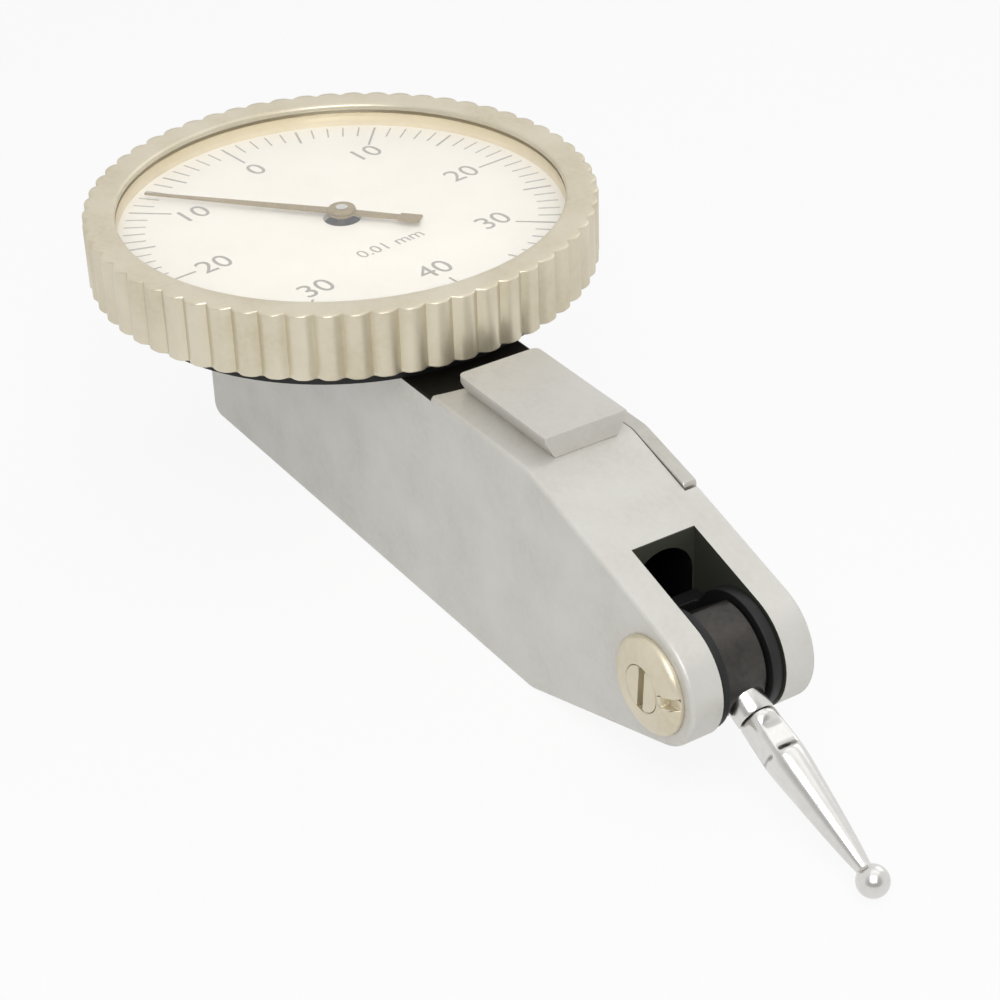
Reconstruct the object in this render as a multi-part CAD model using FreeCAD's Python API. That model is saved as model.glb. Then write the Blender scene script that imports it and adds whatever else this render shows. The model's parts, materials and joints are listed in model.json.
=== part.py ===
"""Lever type dial test indicator with a fluted bezel, built as separate pieces.

Frame: the origin lies on the flat underside, straight below the dial's axis.
X points along the body to the stylus, Z points up to the dial, Y follows by the right-hand rule.
All sizes are in millimetres and all angles in degrees.
"""
import FreeCAD, Part
import math
import os

from FreeCAD import Vector

# Body: a narrow bar that stands upright on its underside, with a tapered clevis nose.
body_width = 9.0
body_height = 16.4
body_rear_x = -14.0
rear_corner_radius = 1.0
bend_x = 29.15                  # where both slopes of the nose start
bend_radius = 2.5
pivot_x = 42.2                  # axis of the measuring lever and of the stylus swivel
nose_radius = 3.95
slot_width = 4.57               # gap between the two ears of the clevis
slot_depth = 5.1                # from the pivot back to the end of the clevis slot
passage_width = 4.4             # round-ended way for the lever, from the slot into the cavity
passage_height = 9.8
seat_recess_margin = 1.4        # shallow round recess under the dial, wider than the bezel
seat_recess_depth = 0.3

# Standard dovetails, on top and at the rear.
dovetail_width = 6.0
dovetail_height = 1.55
dovetail_land = 0.35
dovetail_angle = 60.0
dovetail_corner_radius = 0.45
top_dovetail_gap = 0.4          # from the recess to the top rail
rear_dovetail_foot = 3.0        # from the underside to the rear rail
rear_dovetail_head = 1.8        # from the rear rail to the body's top

# Cavity for the movement, open to the +Y side and closed by the side cover.
near_wall = 1.2                 # wall on the -Y side
rear_wall = 2.5
cavity_to_bend = 9.15
floor_thickness = 1.6
roof_thickness = 1.6
cavity_corner_radius = 1.6
cover_thickness = 0.9
cover_ledge = 0.8
cover_gap = 0.04                # play of the cover in its rebate
cover_lug_radius = 1.35
cover_screw_length = 3.0        # below the cover
screw_shank_radius = 0.5
screw_head_radius = 0.9
screw_head_height = 0.6

# Dial head, stacked upward from the body.
bezel_radius = 17.5
bezel_rise = 1.0                # from the body's top to the bezel's underside
bezel_edge = 0.35
flute_count = 70
flute_depth = 0.42
flute_share = 0.38              # part of each pitch that the groove takes
bezel_wall = 1.5                # outside the dial
bezel_step = 0.5                # ledge under the dial carrier
lip_overhang = 0.7
lip_thickness = 0.45
case_plate_engagement = 0.9     # height over which the bezel runs on the case plate
friction_ring_wire = 0.45
friction_ring_rise = 0.5        # from the bezel's underside to the ring's middle
friction_ring_gap_angle = 24.0
bezel_fit = 0.05                # running clearance between the bezel and the case plate
head_gap = 0.3                  # free height between turning and fixed faces
dial_carrier_thickness = 0.9
dial_carrier_bore = 3.0
dial_thickness = 0.4
dial_hole_radius = 1.3
dial_room = 1.0                 # free height between the dial and the crystal
crystal_thickness = 0.75
spacer_wall = 0.65
press_gap = 0.02                # all round a piece that is pressed or dropped into its seat
plate_screw_x = 9.5

# Pointer and centre arbor.
pointer_angle = -138.0          # where the tip points at rest, measured from +X about +Z
pointer_margin = 1.6            # from the pointer's tip to the bezel's bore
pointer_tail = 5.6
pointer_thickness = 0.15
pointer_root_width = 0.75
pointer_tip_width = 0.16
pointer_tail_width = 1.0
pointer_tail_block = 1.5        # length of the wider block at the tail's end
pointer_rise = 0.38             # from the dial's face to the pointer's underside
pointer_hub_radius = 0.95
pointer_hub_height = 0.3
arbor_radius = 0.4
arbor_pivot_radius = 0.2
pivot_fit = 0.05                # radial play of every pivot in its jewel or bore
jewel_radius = 0.75
jewel_height = 0.5

# Gear train: sector - contrate pinion, contrate wheel - centre pinion.
contrate_head_room = 1.6        # from the wheel's pitch circle to the cavity's roof
addendum_modules = 0.85
dedendum_modules = 1.25
tooth_root_share = 0.30         # half the tooth's width at its root, as a share of the pitch
tooth_tip_share = 0.11
contrate_pinion_teeth = 10
contrate_wheel_teeth = 50
centre_pinion_teeth = 16
sector_teeth_below = 1          # sector teeth below the mesh at rest
sector_teeth_above = 6
contrate_tooth_length = 0.8     # along the wheel's radius
contrate_rim = 0.15
disc_share = 0.36               # wheel disc and bridge, as shares of the room beside the teeth
contrate_hole_share = 0.55      # the holes' circle, as a share of the pitch circle
contrate_hole_radius = 1.05
contrate_hole_count = 5
contrate_pinion_length = 1.1
centre_pinion_length = 1.1
sector_thickness = 0.7
axle_radius = 0.4
axle_shoulder_gap = 0.06        # end play of an arbor or axle

# Bridges that carry the movement.
bridge_share = 0.3
bridge_arm_width = 2.2
bridge_end_gap = 0.1            # from the contrate bridge's ends to floor and roof
bridge_across = 7.2             # along X from the axle to each pillar
pillar_radius = 0.85
bridge_cover_share = 0.21
arbor_bridge_thickness = 0.9
arbor_bridge_drop = 1.0         # from the centre pinion down to the bridge
arbor_bridge_width = 2.2
arbor_bridge_wall_gap = 1.1     # from the cavity's rear wall to the bridge's foot
arbor_bridge_foot_length = 1.8
arbor_bridge_foot_height = 2.6

# Hairspring on the centre arbor.
collet_radius = 0.8
hairspring_turns = 4
hairspring_sides = 18           # straight lengths in each turn
hairspring_pitch = 0.4
hairspring_strip = 0.08
hairspring_height = 0.35
hairspring_roof_gap = 0.3
stud_size = 0.5

# Measuring lever: a fork on the pivot, a bar to the rear and the toothed sector.
fork_margin = 0.15              # from the fork's edge in to the nose's outline
near_cheek = 0.55
far_cheek = 0.75
fork_side_gap = 0.085           # each side, in the slot
fork_bridge_gap = 0.3           # from the joining block to the slot's end
fork_bridge_height = 3.0
bar_thickness = 1.5
bar_height = 1.4
bar_side_gap = 0.3              # from the passage's side to the bar
bar_in_cavity = 7.5             # length of the bar behind the cavity's front
rivet_radius = 0.4
rivet_inset = 1.5               # from the bar's rear end to the first rivet
rivet_pitch = 3.6
travel_angle = 4.2              # full working swing of the lever
stop_pin_inset = 1.1            # from the cavity's front to the stop pins
stop_pin_radius = 0.35
stop_gap = 0.04

# Stylus and its swivel.
stylus_angle = -24.1            # below +X at rest
swivel_margin = 0.35            # from the swivel's edge in to the fork's edge
swivel_facet_depth = 0.45
swivel_facet_angle = 128.0
swivel_side_gap = 0.05
friction_washer_thickness = 0.15
friction_washer_margin = 0.75
swivel_pin_radius = 1.35
swivel_fit = 0.03
socket_margin = 0.03            # between the socket and the friction washer
socket_floor = 0.65             # from the swivel pin to the bottom of the socket's hole
socket_stand = 1.11             # the socket stands out of the swivel by this much
thread_radius = 0.7
thread_length = 1.5
shank_shoulder_radius = 1.2
shank_belly_radius = 1.3
belly_distance = 3.14           # this and the flats are measured from the socket's end
neck_length = 0.04              # plain neck in front of the ball
shank_neck_radius = 0.48
flats_start = 0.84
flats_end = 2.74
flats_half_width = 1.0
ball_distance = 16.34           # from the pivot
ball_radius = 1.0
ball_socket_depth = 0.6

# Lever pivot: slotted screws in both ears, a spanner ring nut on the near one.
pivot_screw_radius = 1.5
pivot_tip_radius = 0.8
pivot_tip_length = 0.5
pivot_end_gap = 0.06
ring_nut_margin = 0.8           # from the nut's edge in to the nose's outline
ring_nut_height = 0.85
ring_nut_bevel = 0.3
ring_nut_notch_width = 0.7
ring_nut_notch_depth = 1.2
ring_nut_notch_angle = 8.0
pivot_slot_width = 0.55
pivot_slot_depth = 0.4
pivot_slot_angle = 86.0

# Reversing lever in the +Y side, its shaft and the cam that bends the bias spring.
reversing_to_bend = 3.15        # from the lever's shaft to the bend
reversing_disc_radius = 2.6
reversing_thickness = 1.0
reversing_floor_gap = 0.06
reversing_edge_gap = 0.2
reversing_rear = 2.15           # length of the blade's edge behind the bend
reversing_front = 5.25          # and ahead of it
reversing_tip_height = 2.4
reversing_slope = 14.9
reversing_tip_radius = 0.35
reversing_swing = 12.0
reversing_head_radius = 1.6
reversing_head_height = 0.5
reversing_slot_angle = 60.0
reversing_shaft_radius = 0.9
reversing_cam_radius = 1.4
reversing_cam_thickness = 0.7
reversing_cam_gap = 0.12
bias_wire = 0.24
bias_spring_overhang = 1.0      # past the post
bias_post_inset = 3.1           # from the slot's end to the post
bias_post_radius = 0.3
bias_post_length = 1.3
bias_gap = 0.02

# Worked out from the sizes above.
half_width = body_width / 2
pivot_z = body_height / 2
seat_z = body_height - seat_recess_depth
slope_reach = math.hypot(pivot_x - bend_x, body_height / 2)
nose_slope = math.degrees(math.atan2(body_height / 2, pivot_x - bend_x)
                          - math.asin(nose_radius / slope_reach))
slot_back_x = pivot_x - slot_depth
seat_recess_radius = bezel_radius + seat_recess_margin
top_dovetail_rear_x = seat_recess_radius + top_dovetail_gap
cavity_near_y = near_wall - half_width
cavity_rear_x = body_rear_x + rear_wall
cavity_front_x = bend_x - cavity_to_bend
cavity_floor_z = floor_thickness
cavity_roof_z = body_height - roof_thickness
cover_inner_y = half_width - cover_thickness

dial_seat_radius = bezel_radius - bezel_wall
lip_radius = dial_seat_radius - lip_overhang
case_plate_radius = dial_seat_radius - bezel_step
bezel_low_z = body_height + bezel_rise
case_plate_high_z = bezel_low_z + case_plate_engagement
friction_ring_z = bezel_low_z + friction_ring_rise
carrier_low_z = case_plate_high_z + head_gap
dial_low_z = carrier_low_z + dial_carrier_thickness
dial_high_z = dial_low_z + dial_thickness
crystal_low_z = dial_high_z + dial_room
crystal_high_z = crystal_low_z + crystal_thickness
bezel_high_z = crystal_high_z + lip_thickness
pointer_low_z = dial_high_z + pointer_rise
pointer_length = dial_seat_radius - pointer_margin

contrate_wheel_radius = cavity_roof_z - pivot_z - contrate_head_room
gear_module = 2 * contrate_wheel_radius / contrate_wheel_teeth
addendum = addendum_modules * gear_module
dedendum = dedendum_modules * gear_module
tooth_pitch = math.pi * gear_module
contrate_pinion_radius = contrate_pinion_teeth * gear_module / 2
centre_pinion_radius = centre_pinion_teeth * gear_module / 2
sector_radius = pivot_x - contrate_pinion_radius
contrate_hole_circle = contrate_hole_share * contrate_wheel_radius
contrate_root_y = centre_pinion_radius + dedendum + addendum / 2
contrate_tip_y = centre_pinion_radius - addendum
centre_pinion_low_z = pivot_z + contrate_wheel_radius - centre_pinion_length / 2
passage_side_y = passage_width / 2
sector_high_y = bar_side_gap - passage_side_y
sector_low_y = sector_high_y - sector_thickness
movement_room = cover_inner_y - contrate_root_y
contrate_disc_thickness = disc_share * movement_room
bridge_thickness = bridge_share * movement_room
bridge_cover_gap = bridge_cover_share * movement_room
bridge_high_y = cover_inner_y - bridge_cover_gap
bridge_low_y = bridge_high_y - bridge_thickness
bridge_up = cavity_roof_z - bridge_end_gap - bridge_arm_width / 2 - pivot_z
arbor_bridge_high_z = centre_pinion_low_z - arbor_bridge_drop
arbor_bridge_low_z = arbor_bridge_high_z - arbor_bridge_thickness
arbor_bridge_foot_x = cavity_rear_x + arbor_bridge_wall_gap
hairspring_high_z = cavity_roof_z - hairspring_roof_gap
hairspring_low_z = hairspring_high_z - hairspring_height

fork_radius = nose_radius - fork_margin
fork_low_y = fork_side_gap - slot_width / 2
fork_high_y = slot_width / 2 - fork_side_gap
fork_bridge_radius = slot_depth - fork_bridge_gap
swivel_radius = fork_radius - swivel_margin
swivel_low_y = fork_low_y + near_cheek + swivel_side_gap
washer_high_y = fork_high_y - far_cheek - swivel_side_gap
swivel_high_y = washer_high_y - friction_washer_thickness
socket_radius = swivel_high_y - socket_margin
bar_high_y = sector_high_y + bar_thickness
bar_rear_x = cavity_front_x - bar_in_cavity
rivet_xs = (bar_rear_x + rivet_inset, bar_rear_x + rivet_inset + rivet_pitch)
stop_pin_x = cavity_front_x - stop_pin_inset
stop_pin_foot_y = cavity_near_y - near_wall / 2
socket_seat = swivel_pin_radius + socket_floor
socket_end = swivel_radius + socket_stand
ring_nut_radius = nose_radius - ring_nut_margin
reversing_x = bend_x - reversing_to_bend
reversing_z = pivot_z
reversing_floor_y = half_width - reversing_thickness - reversing_floor_gap
bias_post_x = slot_back_x - bias_post_inset

ORIGIN = Vector(0, 0, 0)
X_AXIS = Vector(1, 0, 0)
Y_AXIS = Vector(0, 1, 0)
Z_AXIS = Vector(0, 0, 1)


# Helpers for shapes.

def block(x_range, y_range, z_range):
    """Box between two limits on each axis."""
    size = [high - low for low, high in (x_range, y_range, z_range)]
    return Part.makeBox(*size, Vector(x_range[0], y_range[0], z_range[0]))


def rod_y(x, z, radius, y_low, y_high):
    """Cylinder along Y."""
    return Part.makeCylinder(radius, y_high - y_low, Vector(x, y_low, z), Y_AXIS)


def rod_z(x, y, radius, z_low, z_high):
    """Cylinder along Z."""
    return Part.makeCylinder(radius, z_high - z_low, Vector(x, y, z_low), Z_AXIS)


def turned(profile, base=ORIGIN, axis=Z_AXIS, sweep=360):
    """Body of revolution from (radius, height) corners, with heights counted from base along axis."""
    corners = [Vector(radius, 0, height) for radius, height in profile]
    face = Part.Face(Part.makePolygon(corners + corners[:1]))
    solid = face.revolve(ORIGIN, Z_AXIS, sweep)
    solid.Placement = FreeCAD.Placement(base, FreeCAD.Rotation(Z_AXIS, axis))
    return solid


def stepped(start, steps, base=ORIGIN, axis=Z_AXIS):
    """Turned rod from height start; each (radius, end) step runs on to its end."""
    profile = [(0, start)]
    low = start
    for radius, end in steps:
        profile += [(radius, low), (radius, end)]
        low = end
    return turned(profile + [(0, low)], base, axis)


def tube(bore, radius, low, high, base=ORIGIN, axis=Z_AXIS):
    """Turned ring between two heights."""
    return turned([(bore, low), (radius, low), (radius, high), (bore, high)], base, axis)


def slab_y(points, y_low, y_high):
    """Prism along Y from (x, z) corners."""
    corners = [Vector(x, y_low, z) for x, z in points]
    face = Part.Face(Part.makePolygon(corners + corners[:1]))
    return face.extrude(Vector(0, y_high - y_low, 0))


def slab_z(points, z_low, z_high):
    """Prism along Z from (x, y) corners."""
    corners = [Vector(x, y, z_low) for x, y in points]
    face = Part.Face(Part.makePolygon(corners + corners[:1]))
    return face.extrude(Vector(0, 0, z_high - z_low))


def rounded_corner(before, here, after, radius):
    """Start, middle and end of the arc that rounds a corner."""
    to_before = (before - here).normalize()
    to_after = (after - here).normalize()
    half_angle = to_before.getAngle(to_after) / 2
    reach = radius / math.tan(half_angle)
    bisector = (to_before + to_after).normalize()
    middle = here + bisector * (radius / math.sin(half_angle) - radius)
    return here + to_before * reach, middle, here + to_after * reach


def rounded_slab_y(corners, y_low, y_high):
    """Prism along Y from (x, z, radius) corners, each rounded by its radius."""
    spots = [Vector(x, y_low, z) for x, z, radius in corners]
    arcs = []
    for index, (x, z, radius) in enumerate(corners):
        after = spots[(index + 1) % len(spots)]
        if radius:
            arcs.append(rounded_corner(spots[index - 1], spots[index], after, radius))
        else:
            arcs.append((spots[index], None, spots[index]))
    edges = []
    for index, (start, middle, end) in enumerate(arcs):
        if middle:
            edges.append(Part.Arc(start, middle, end).toShape())
        following = arcs[(index + 1) % len(arcs)][0]
        if end.distanceToPoint(following) > 1e-6:
            edges.append(Part.makeLine(end, following))
    return Part.Face(Part.Wire(edges)).extrude(Vector(0, y_high - y_low, 0))


def rounded_box_y(x_range, z_range, radius, y_low, y_high):
    """Plate with four equal round corners, lying across Y."""
    corners = [(x_range[0], z_range[0], radius), (x_range[1], z_range[0], radius),
               (x_range[1], z_range[1], radius), (x_range[0], z_range[1], radius)]
    return rounded_slab_y(corners, y_low, y_high)


def polar(radius, angle):
    """Two coordinates of a point on a circle."""
    return radius * math.cos(math.radians(angle)), radius * math.sin(math.radians(angle))


def slot_across(shape, centre, axis, angle):
    """Cuts a screwdriver slot into the flat end of shape that faces along axis."""
    reach = 2 * nose_radius
    cutter = Part.makeBox(reach, pivot_slot_width, pivot_slot_depth + 1,
                          Vector(-reach / 2, -pivot_slot_width / 2, -pivot_slot_depth))
    cutter.rotate(ORIGIN, Z_AXIS, angle)
    cutter.Placement = FreeCAD.Placement(centre, FreeCAD.Rotation(Z_AXIS, axis)).multiply(cutter.Placement)
    return shape.cut(cutter)


def gear_points(teeth, pitch_radius, first_tooth, centre_x, centre_z):
    """Outline of a spur gear with straight-sided teeth; the first tooth lies at angle first_tooth."""
    points = []
    for tooth in range(teeth):
        for share, height in ((-tooth_root_share, -dedendum), (-tooth_tip_share, addendum),
                              (tooth_tip_share, addendum), (tooth_root_share, -dedendum)):
            angle = first_tooth + (tooth + share) * 360 / teeth
            across, up = polar(pitch_radius + height, angle)
            points.append((centre_x + across, centre_z + up))
    return points


# Body.

def body_outline():
    """Side view of the body: square rear, two slopes and a nose that is round about the pivot."""
    apex_x = bend_x + pivot_z / math.tan(math.radians(nose_slope))
    return [(body_rear_x, 0, rear_corner_radius), (bend_x, 0, bend_radius),
            (apex_x, pivot_z, nose_radius), (bend_x, body_height, bend_radius),
            (body_rear_x, body_height, rear_corner_radius)]


def dovetail_section():
    """Half section of a dovetail rail, from its foot to its top: (half width, height)."""
    undercut = (dovetail_height - dovetail_land) / math.tan(math.radians(dovetail_angle))
    top = dovetail_width / 2
    return [(top - undercut, 0), (top, dovetail_height - dovetail_land), (top, dovetail_height)]


def top_dovetail():
    """Rail on the body's top, flush with the bend at its front, with round rear corners."""
    half = dovetail_section()
    section = [(y, z) for y, z in half] + [(-y, z) for y, z in reversed(half)]
    corners = [Vector(top_dovetail_rear_x, y, body_height + z) for y, z in section]
    rail = Part.Face(Part.makePolygon(corners + corners[:1])).extrude(
        Vector(bend_x - top_dovetail_rear_x, 0, 0))
    edges = [edge for edge in rail.Edges if dovetail_end_edge(edge)]
    return rail.makeFillet(dovetail_corner_radius, edges)


def dovetail_end_edge(edge):
    """True for the short upright edges of the land at the rail's rear end."""
    ends = [vertex.Point for vertex in edge.Vertexes]
    upright = abs(ends[0].x - ends[1].x) < 1e-6 and abs(ends[0].y - ends[1].y) < 1e-6
    return upright and abs(ends[0].x - top_dovetail_rear_x) < 1e-6


def rear_dovetail():
    """Upright rail on the body's rear face."""
    half = dovetail_section()
    section = [(y, out) for y, out in half] + [(-y, out) for y, out in reversed(half)]
    corners = [Vector(body_rear_x - out, y, rear_dovetail_foot) for y, out in section]
    face = Part.Face(Part.makePolygon(corners + corners[:1]))
    return face.extrude(Vector(0, 0, body_height - rear_dovetail_head - rear_dovetail_foot))


def cover_screw_spots():
    """Centres of the four cover screws, in the cavity's corners."""
    inset = cover_lug_radius - cover_ledge / 2
    return [(x, z) for x in (cavity_rear_x + inset, cavity_front_x - inset)
            for z in (cavity_floor_z + inset, cavity_roof_z - inset)]


def stop_pin_zs():
    """Heights of the upper and the lower travel stop."""
    half_bar = bar_height / 2
    upper = pivot_z + half_bar + stop_pin_radius + stop_gap
    swing = math.radians(travel_angle)
    lever = pivot_x - stop_pin_x
    lower = pivot_z - lever * math.tan(swing) - (half_bar + stop_pin_radius + stop_gap) / math.cos(swing)
    return upper, lower


def passage():
    """Round-ended way along X, from the cavity to the clevis slot."""
    radius = passage_side_y
    rise = passage_height / 2 - radius
    x_range = (cavity_front_x - cavity_corner_radius, slot_back_x)
    way = block(x_range, (-radius, radius), (pivot_z - rise, pivot_z + rise))
    for z in (pivot_z - rise, pivot_z + rise):
        way = way.fuse(Part.makeCylinder(radius, x_range[1] - x_range[0], Vector(x_range[0], 0, z), X_AXIS))
    return way


def reversing_corners(grow):
    """Corners of the reversing lever's blade, from its rear top corner round to its foot."""
    tip_x = bend_x + reversing_front + grow
    tip_z = body_height - reversing_front * math.tan(math.radians(reversing_slope))
    half_disc = reversing_disc_radius / 2
    return [(bend_x - reversing_rear - grow, body_height + grow, 0),
            (bend_x, body_height + grow, bend_radius),
            (tip_x, tip_z + grow, reversing_tip_radius),
            (tip_x, tip_z - reversing_tip_height - grow, 2 * reversing_tip_radius),
            (reversing_x + half_disc, reversing_z - half_disc - grow, 0),
            (reversing_x - half_disc - grow, reversing_z + half_disc, 0)]


def swung_up(x, z):
    """Place of a corner of the reversing lever at the end of its swing."""
    reach = math.hypot(x - reversing_x, z - reversing_z)
    start = math.degrees(math.atan2(z - reversing_z, x - reversing_x))
    across, up = polar(reach, start + reversing_swing)
    return reversing_x + across, reversing_z + up


def reversing_pocket():
    """Pocket in the +Y side, open at the top, that holds the reversing lever through its swing."""
    rear_top, _, tip, lower_tip, foot, rear = reversing_corners(reversing_edge_gap)
    corners = [(*swung_up(*rear_top[:2]), 0), (tip[0], body_height + dovetail_height, 0), lower_tip, foot,
               rear, (*swung_up(*rear[:2]), 0)]
    blade = rounded_slab_y(corners, reversing_floor_y, half_width)
    disc_radius = reversing_disc_radius + reversing_edge_gap
    return blade.fuse(rod_y(reversing_x, reversing_z, disc_radius, reversing_floor_y, half_width))


def make_body():
    """Body with its rails, clevis, cavity, passage and every bore."""
    far = half_width + 1
    body = rounded_slab_y(body_outline(), -half_width, half_width)
    body = body.fuse([top_dovetail(), rear_dovetail()])
    half_slot = slot_width / 2
    cutters = [
        block((slot_back_x, pivot_x + 2 * nose_radius), (-half_slot, half_slot), (-1, body_height + 1)),
        passage(),
        rod_z(0, 0, seat_recess_radius, seat_z, body_height + dovetail_height),
        rod_z(0, 0, jewel_radius * 2, cavity_roof_z - 1, seat_z + 1),
        rod_y(pivot_x, pivot_z, pivot_screw_radius, -far, far),
        rod_y(0, pivot_z, jewel_radius, cavity_near_y - jewel_height, cavity_near_y + 1),
        reversing_pocket(),
        rod_y(reversing_x, reversing_z, reversing_shaft_radius + pivot_fit, passage_side_y / 2, half_width),
    ]
    cavity = rounded_box_y((cavity_rear_x, cavity_front_x), (cavity_floor_z, cavity_roof_z),
                           cavity_corner_radius, cavity_near_y, half_width)
    lugs = [rod_y(x, z, cover_lug_radius, cavity_near_y, half_width) for x, z in cover_screw_spots()]
    cutters.append(cavity.cut(lugs))
    cutters.append(rounded_box_y((cavity_rear_x - cover_ledge, cavity_front_x + cover_ledge),
                                 (cavity_floor_z - cover_ledge, cavity_roof_z + cover_ledge),
                                 cavity_corner_radius + cover_ledge, cover_inner_y, far))
    for x, z in cover_screw_spots():
        cutters.append(rod_y(x, z, screw_shank_radius, cover_inner_y - cover_screw_length, far))
    for x in (-plate_screw_x, plate_screw_x):
        cutters.append(rod_z(x, 0, screw_shank_radius, cavity_roof_z - 1, seat_z + 1))
    for z in stop_pin_zs():
        cutters.append(rod_y(stop_pin_x, z, stop_pin_radius, stop_pin_foot_y, cavity_near_y + 1))
    return body.cut(cutters).removeSplitter()


def make_side_cover():
    """Flat plate let into the +Y side, countersunk for its screws."""
    inset = cover_ledge - cover_gap
    cover = rounded_box_y((cavity_rear_x - inset, cavity_front_x + inset),
                          (cavity_floor_z - inset, cavity_roof_z + inset),
                          cavity_corner_radius + inset, cover_inner_y, half_width)
    for x, z in cover_screw_spots():
        cover = cover.cut(rod_y(x, z, screw_head_radius + press_gap, cover_inner_y - 1, half_width + 1))
    return cover


def make_side_cover_screws():
    """Four screws, their heads level with the cover."""
    steps = [(screw_shank_radius, cover_inner_y), (screw_head_radius, half_width)]
    start = cover_inner_y - cover_screw_length
    return Part.makeCompound([stepped(start, steps, Vector(x, 0, z), Y_AXIS) for x, z in cover_screw_spots()])


# Dial head.

def make_case_plate():
    """Round plate on the body that carries the bezel on its rim."""
    groove = friction_ring_wire + 2 * press_gap
    groove_low = friction_ring_z - groove / 2
    rim = case_plate_radius
    floor = rim - friction_ring_wire * 0.75
    plate = turned([(0, seat_z), (rim, seat_z), (rim, groove_low), (floor, groove_low),
                    (floor, groove_low + groove), (rim, groove_low + groove),
                    (rim, case_plate_high_z), (0, case_plate_high_z)])
    plate = plate.cut(rod_z(0, 0, jewel_radius, case_plate_high_z - jewel_height, case_plate_high_z + 1))
    plate = plate.cut(rod_z(0, 0, jewel_radius * 0.8, seat_z - 1, case_plate_high_z))
    head_seat = case_plate_high_z - screw_head_height
    for x in (-plate_screw_x, plate_screw_x):
        plate = plate.cut(rod_z(x, 0, screw_shank_radius, seat_z - 1, case_plate_high_z + 1))
        plate = plate.cut(rod_z(x, 0, screw_head_radius + press_gap, head_seat, case_plate_high_z + 1))
    return plate


def make_case_plate_screws():
    """Two screws on the body's middle line, sunk level with the case plate."""
    head_seat = case_plate_high_z - screw_head_height
    steps = [(screw_shank_radius, head_seat), (screw_head_radius, case_plate_high_z)]
    return Part.makeCompound([stepped(cavity_roof_z, steps, Vector(x, 0, 0))
                              for x in (-plate_screw_x, plate_screw_x)])


def fluted_outline():
    """Plan of the bezel's rim: broad ribs on the full circle, parted by V grooves."""
    edges = []
    pitch = 360 / flute_count
    for flute in range(flute_count):
        rib_start, rib_end, groove, next_start = [
            flute * pitch + share * pitch for share in (0, 1 - flute_share, 1 - flute_share / 2, 1)]
        rib = [Vector(*polar(bezel_radius, angle), bezel_low_z)
               for angle in (rib_start, (rib_start + rib_end) / 2, rib_end)]
        bottom = Vector(*polar(bezel_radius - flute_depth, groove), bezel_low_z)
        edges.append(Part.Arc(*rib).toShape())
        edges.append(Part.makeLine(rib[2], bottom))
        edges.append(Part.makeLine(bottom, Vector(*polar(bezel_radius, next_start), bezel_low_z)))
    return Part.Wire(edges)


def make_bezel():
    """Fluted ring with softened edges, an inner lip over the crystal and a step under the dial carrier."""
    blank = Part.Face(fluted_outline()).extrude(Vector(0, 0, bezel_high_z - bezel_low_z))
    low = bezel_low_z
    high = bezel_high_z
    rim = bezel_radius + 1
    edge = bezel_radius - flute_depth
    running_bore = case_plate_radius + bezel_fit
    groove_bore = case_plate_radius + friction_ring_wire * 0.25 + 2 * bezel_fit
    groove_low = friction_ring_z - friction_ring_wire / 2 - bezel_fit
    groove_high = friction_ring_z + friction_ring_wire / 2 + bezel_fit
    # The chamfer runs from the rib's edge to the groove's bottom and on, as a turning tool leaves it.
    profile = [(running_bore, low), (edge, low), (rim, low + (rim - edge) * bezel_edge / flute_depth),
               (rim, high - (rim - edge) * bezel_edge / flute_depth), (edge, high),
               (lip_radius, high), (lip_radius, crystal_high_z), (dial_seat_radius, crystal_high_z),
               (dial_seat_radius, carrier_low_z), (running_bore, carrier_low_z),
               (running_bore, groove_high), (groove_bore, groove_high),
               (groove_bore, groove_low), (running_bore, groove_low)]
    return blank.common(turned(profile)).removeSplitter()


def make_friction_ring():
    """Open spring ring of square wire that lies in the case plate's groove and drags on the bezel."""
    half = friction_ring_wire / 2
    middle = case_plate_radius - half / 2
    section = [(middle - half, -half), (middle + half, -half), (middle + half, half), (middle - half, half)]
    ring = turned(section, Vector(0, 0, friction_ring_z), Z_AXIS, 360 - friction_ring_gap_angle)
    ring.rotate(ORIGIN, Z_AXIS, friction_ring_gap_angle / 2)
    return ring


def make_dial_carrier():
    """Disc on the bezel's inner step; it turns with the bezel and bears the dial."""
    return tube(dial_carrier_bore, dial_seat_radius - press_gap, carrier_low_z, dial_low_z)


def make_dial():
    """Thin dial disc with a hole for the arbor."""
    return tube(dial_hole_radius, dial_seat_radius - press_gap, dial_low_z, dial_high_z)


def make_dial_spacer_ring():
    """Ring that keeps the crystal off the dial."""
    outer = dial_seat_radius - press_gap
    return tube(outer - spacer_wall, outer, dial_high_z, crystal_low_z)


def make_crystal():
    """Flat round window under the bezel's lip."""
    return stepped(crystal_low_z, [(dial_seat_radius - press_gap, crystal_high_z)])


# Pointer, arbor and hairspring.

def make_pointer():
    """Thin tapering hand with a short tail that ends in a wider block."""
    half_root = pointer_root_width / 2
    half_tip = pointer_tip_width / 2
    half_tail = pointer_tail_width / 2
    block_x = pointer_tail_block - pointer_tail
    outline = [(pointer_length, -half_tip), (pointer_length, half_tip), (0, half_root),
               (block_x, half_root * 0.7), (block_x, half_tail), (-pointer_tail, half_tail),
               (-pointer_tail, -half_tail), (block_x, -half_tail), (block_x, -half_root * 0.7),
               (0, -half_root)]
    high = pointer_low_z + pointer_thickness
    hand = slab_z(outline, pointer_low_z, high)
    hand = hand.fuse(rod_z(0, 0, pointer_hub_radius, pointer_low_z, high))
    hand.rotate(ORIGIN, Z_AXIS, pointer_angle)
    return hand.cut(rod_z(0, 0, arbor_radius, pointer_low_z - 1, high + 1)).removeSplitter()


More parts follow.
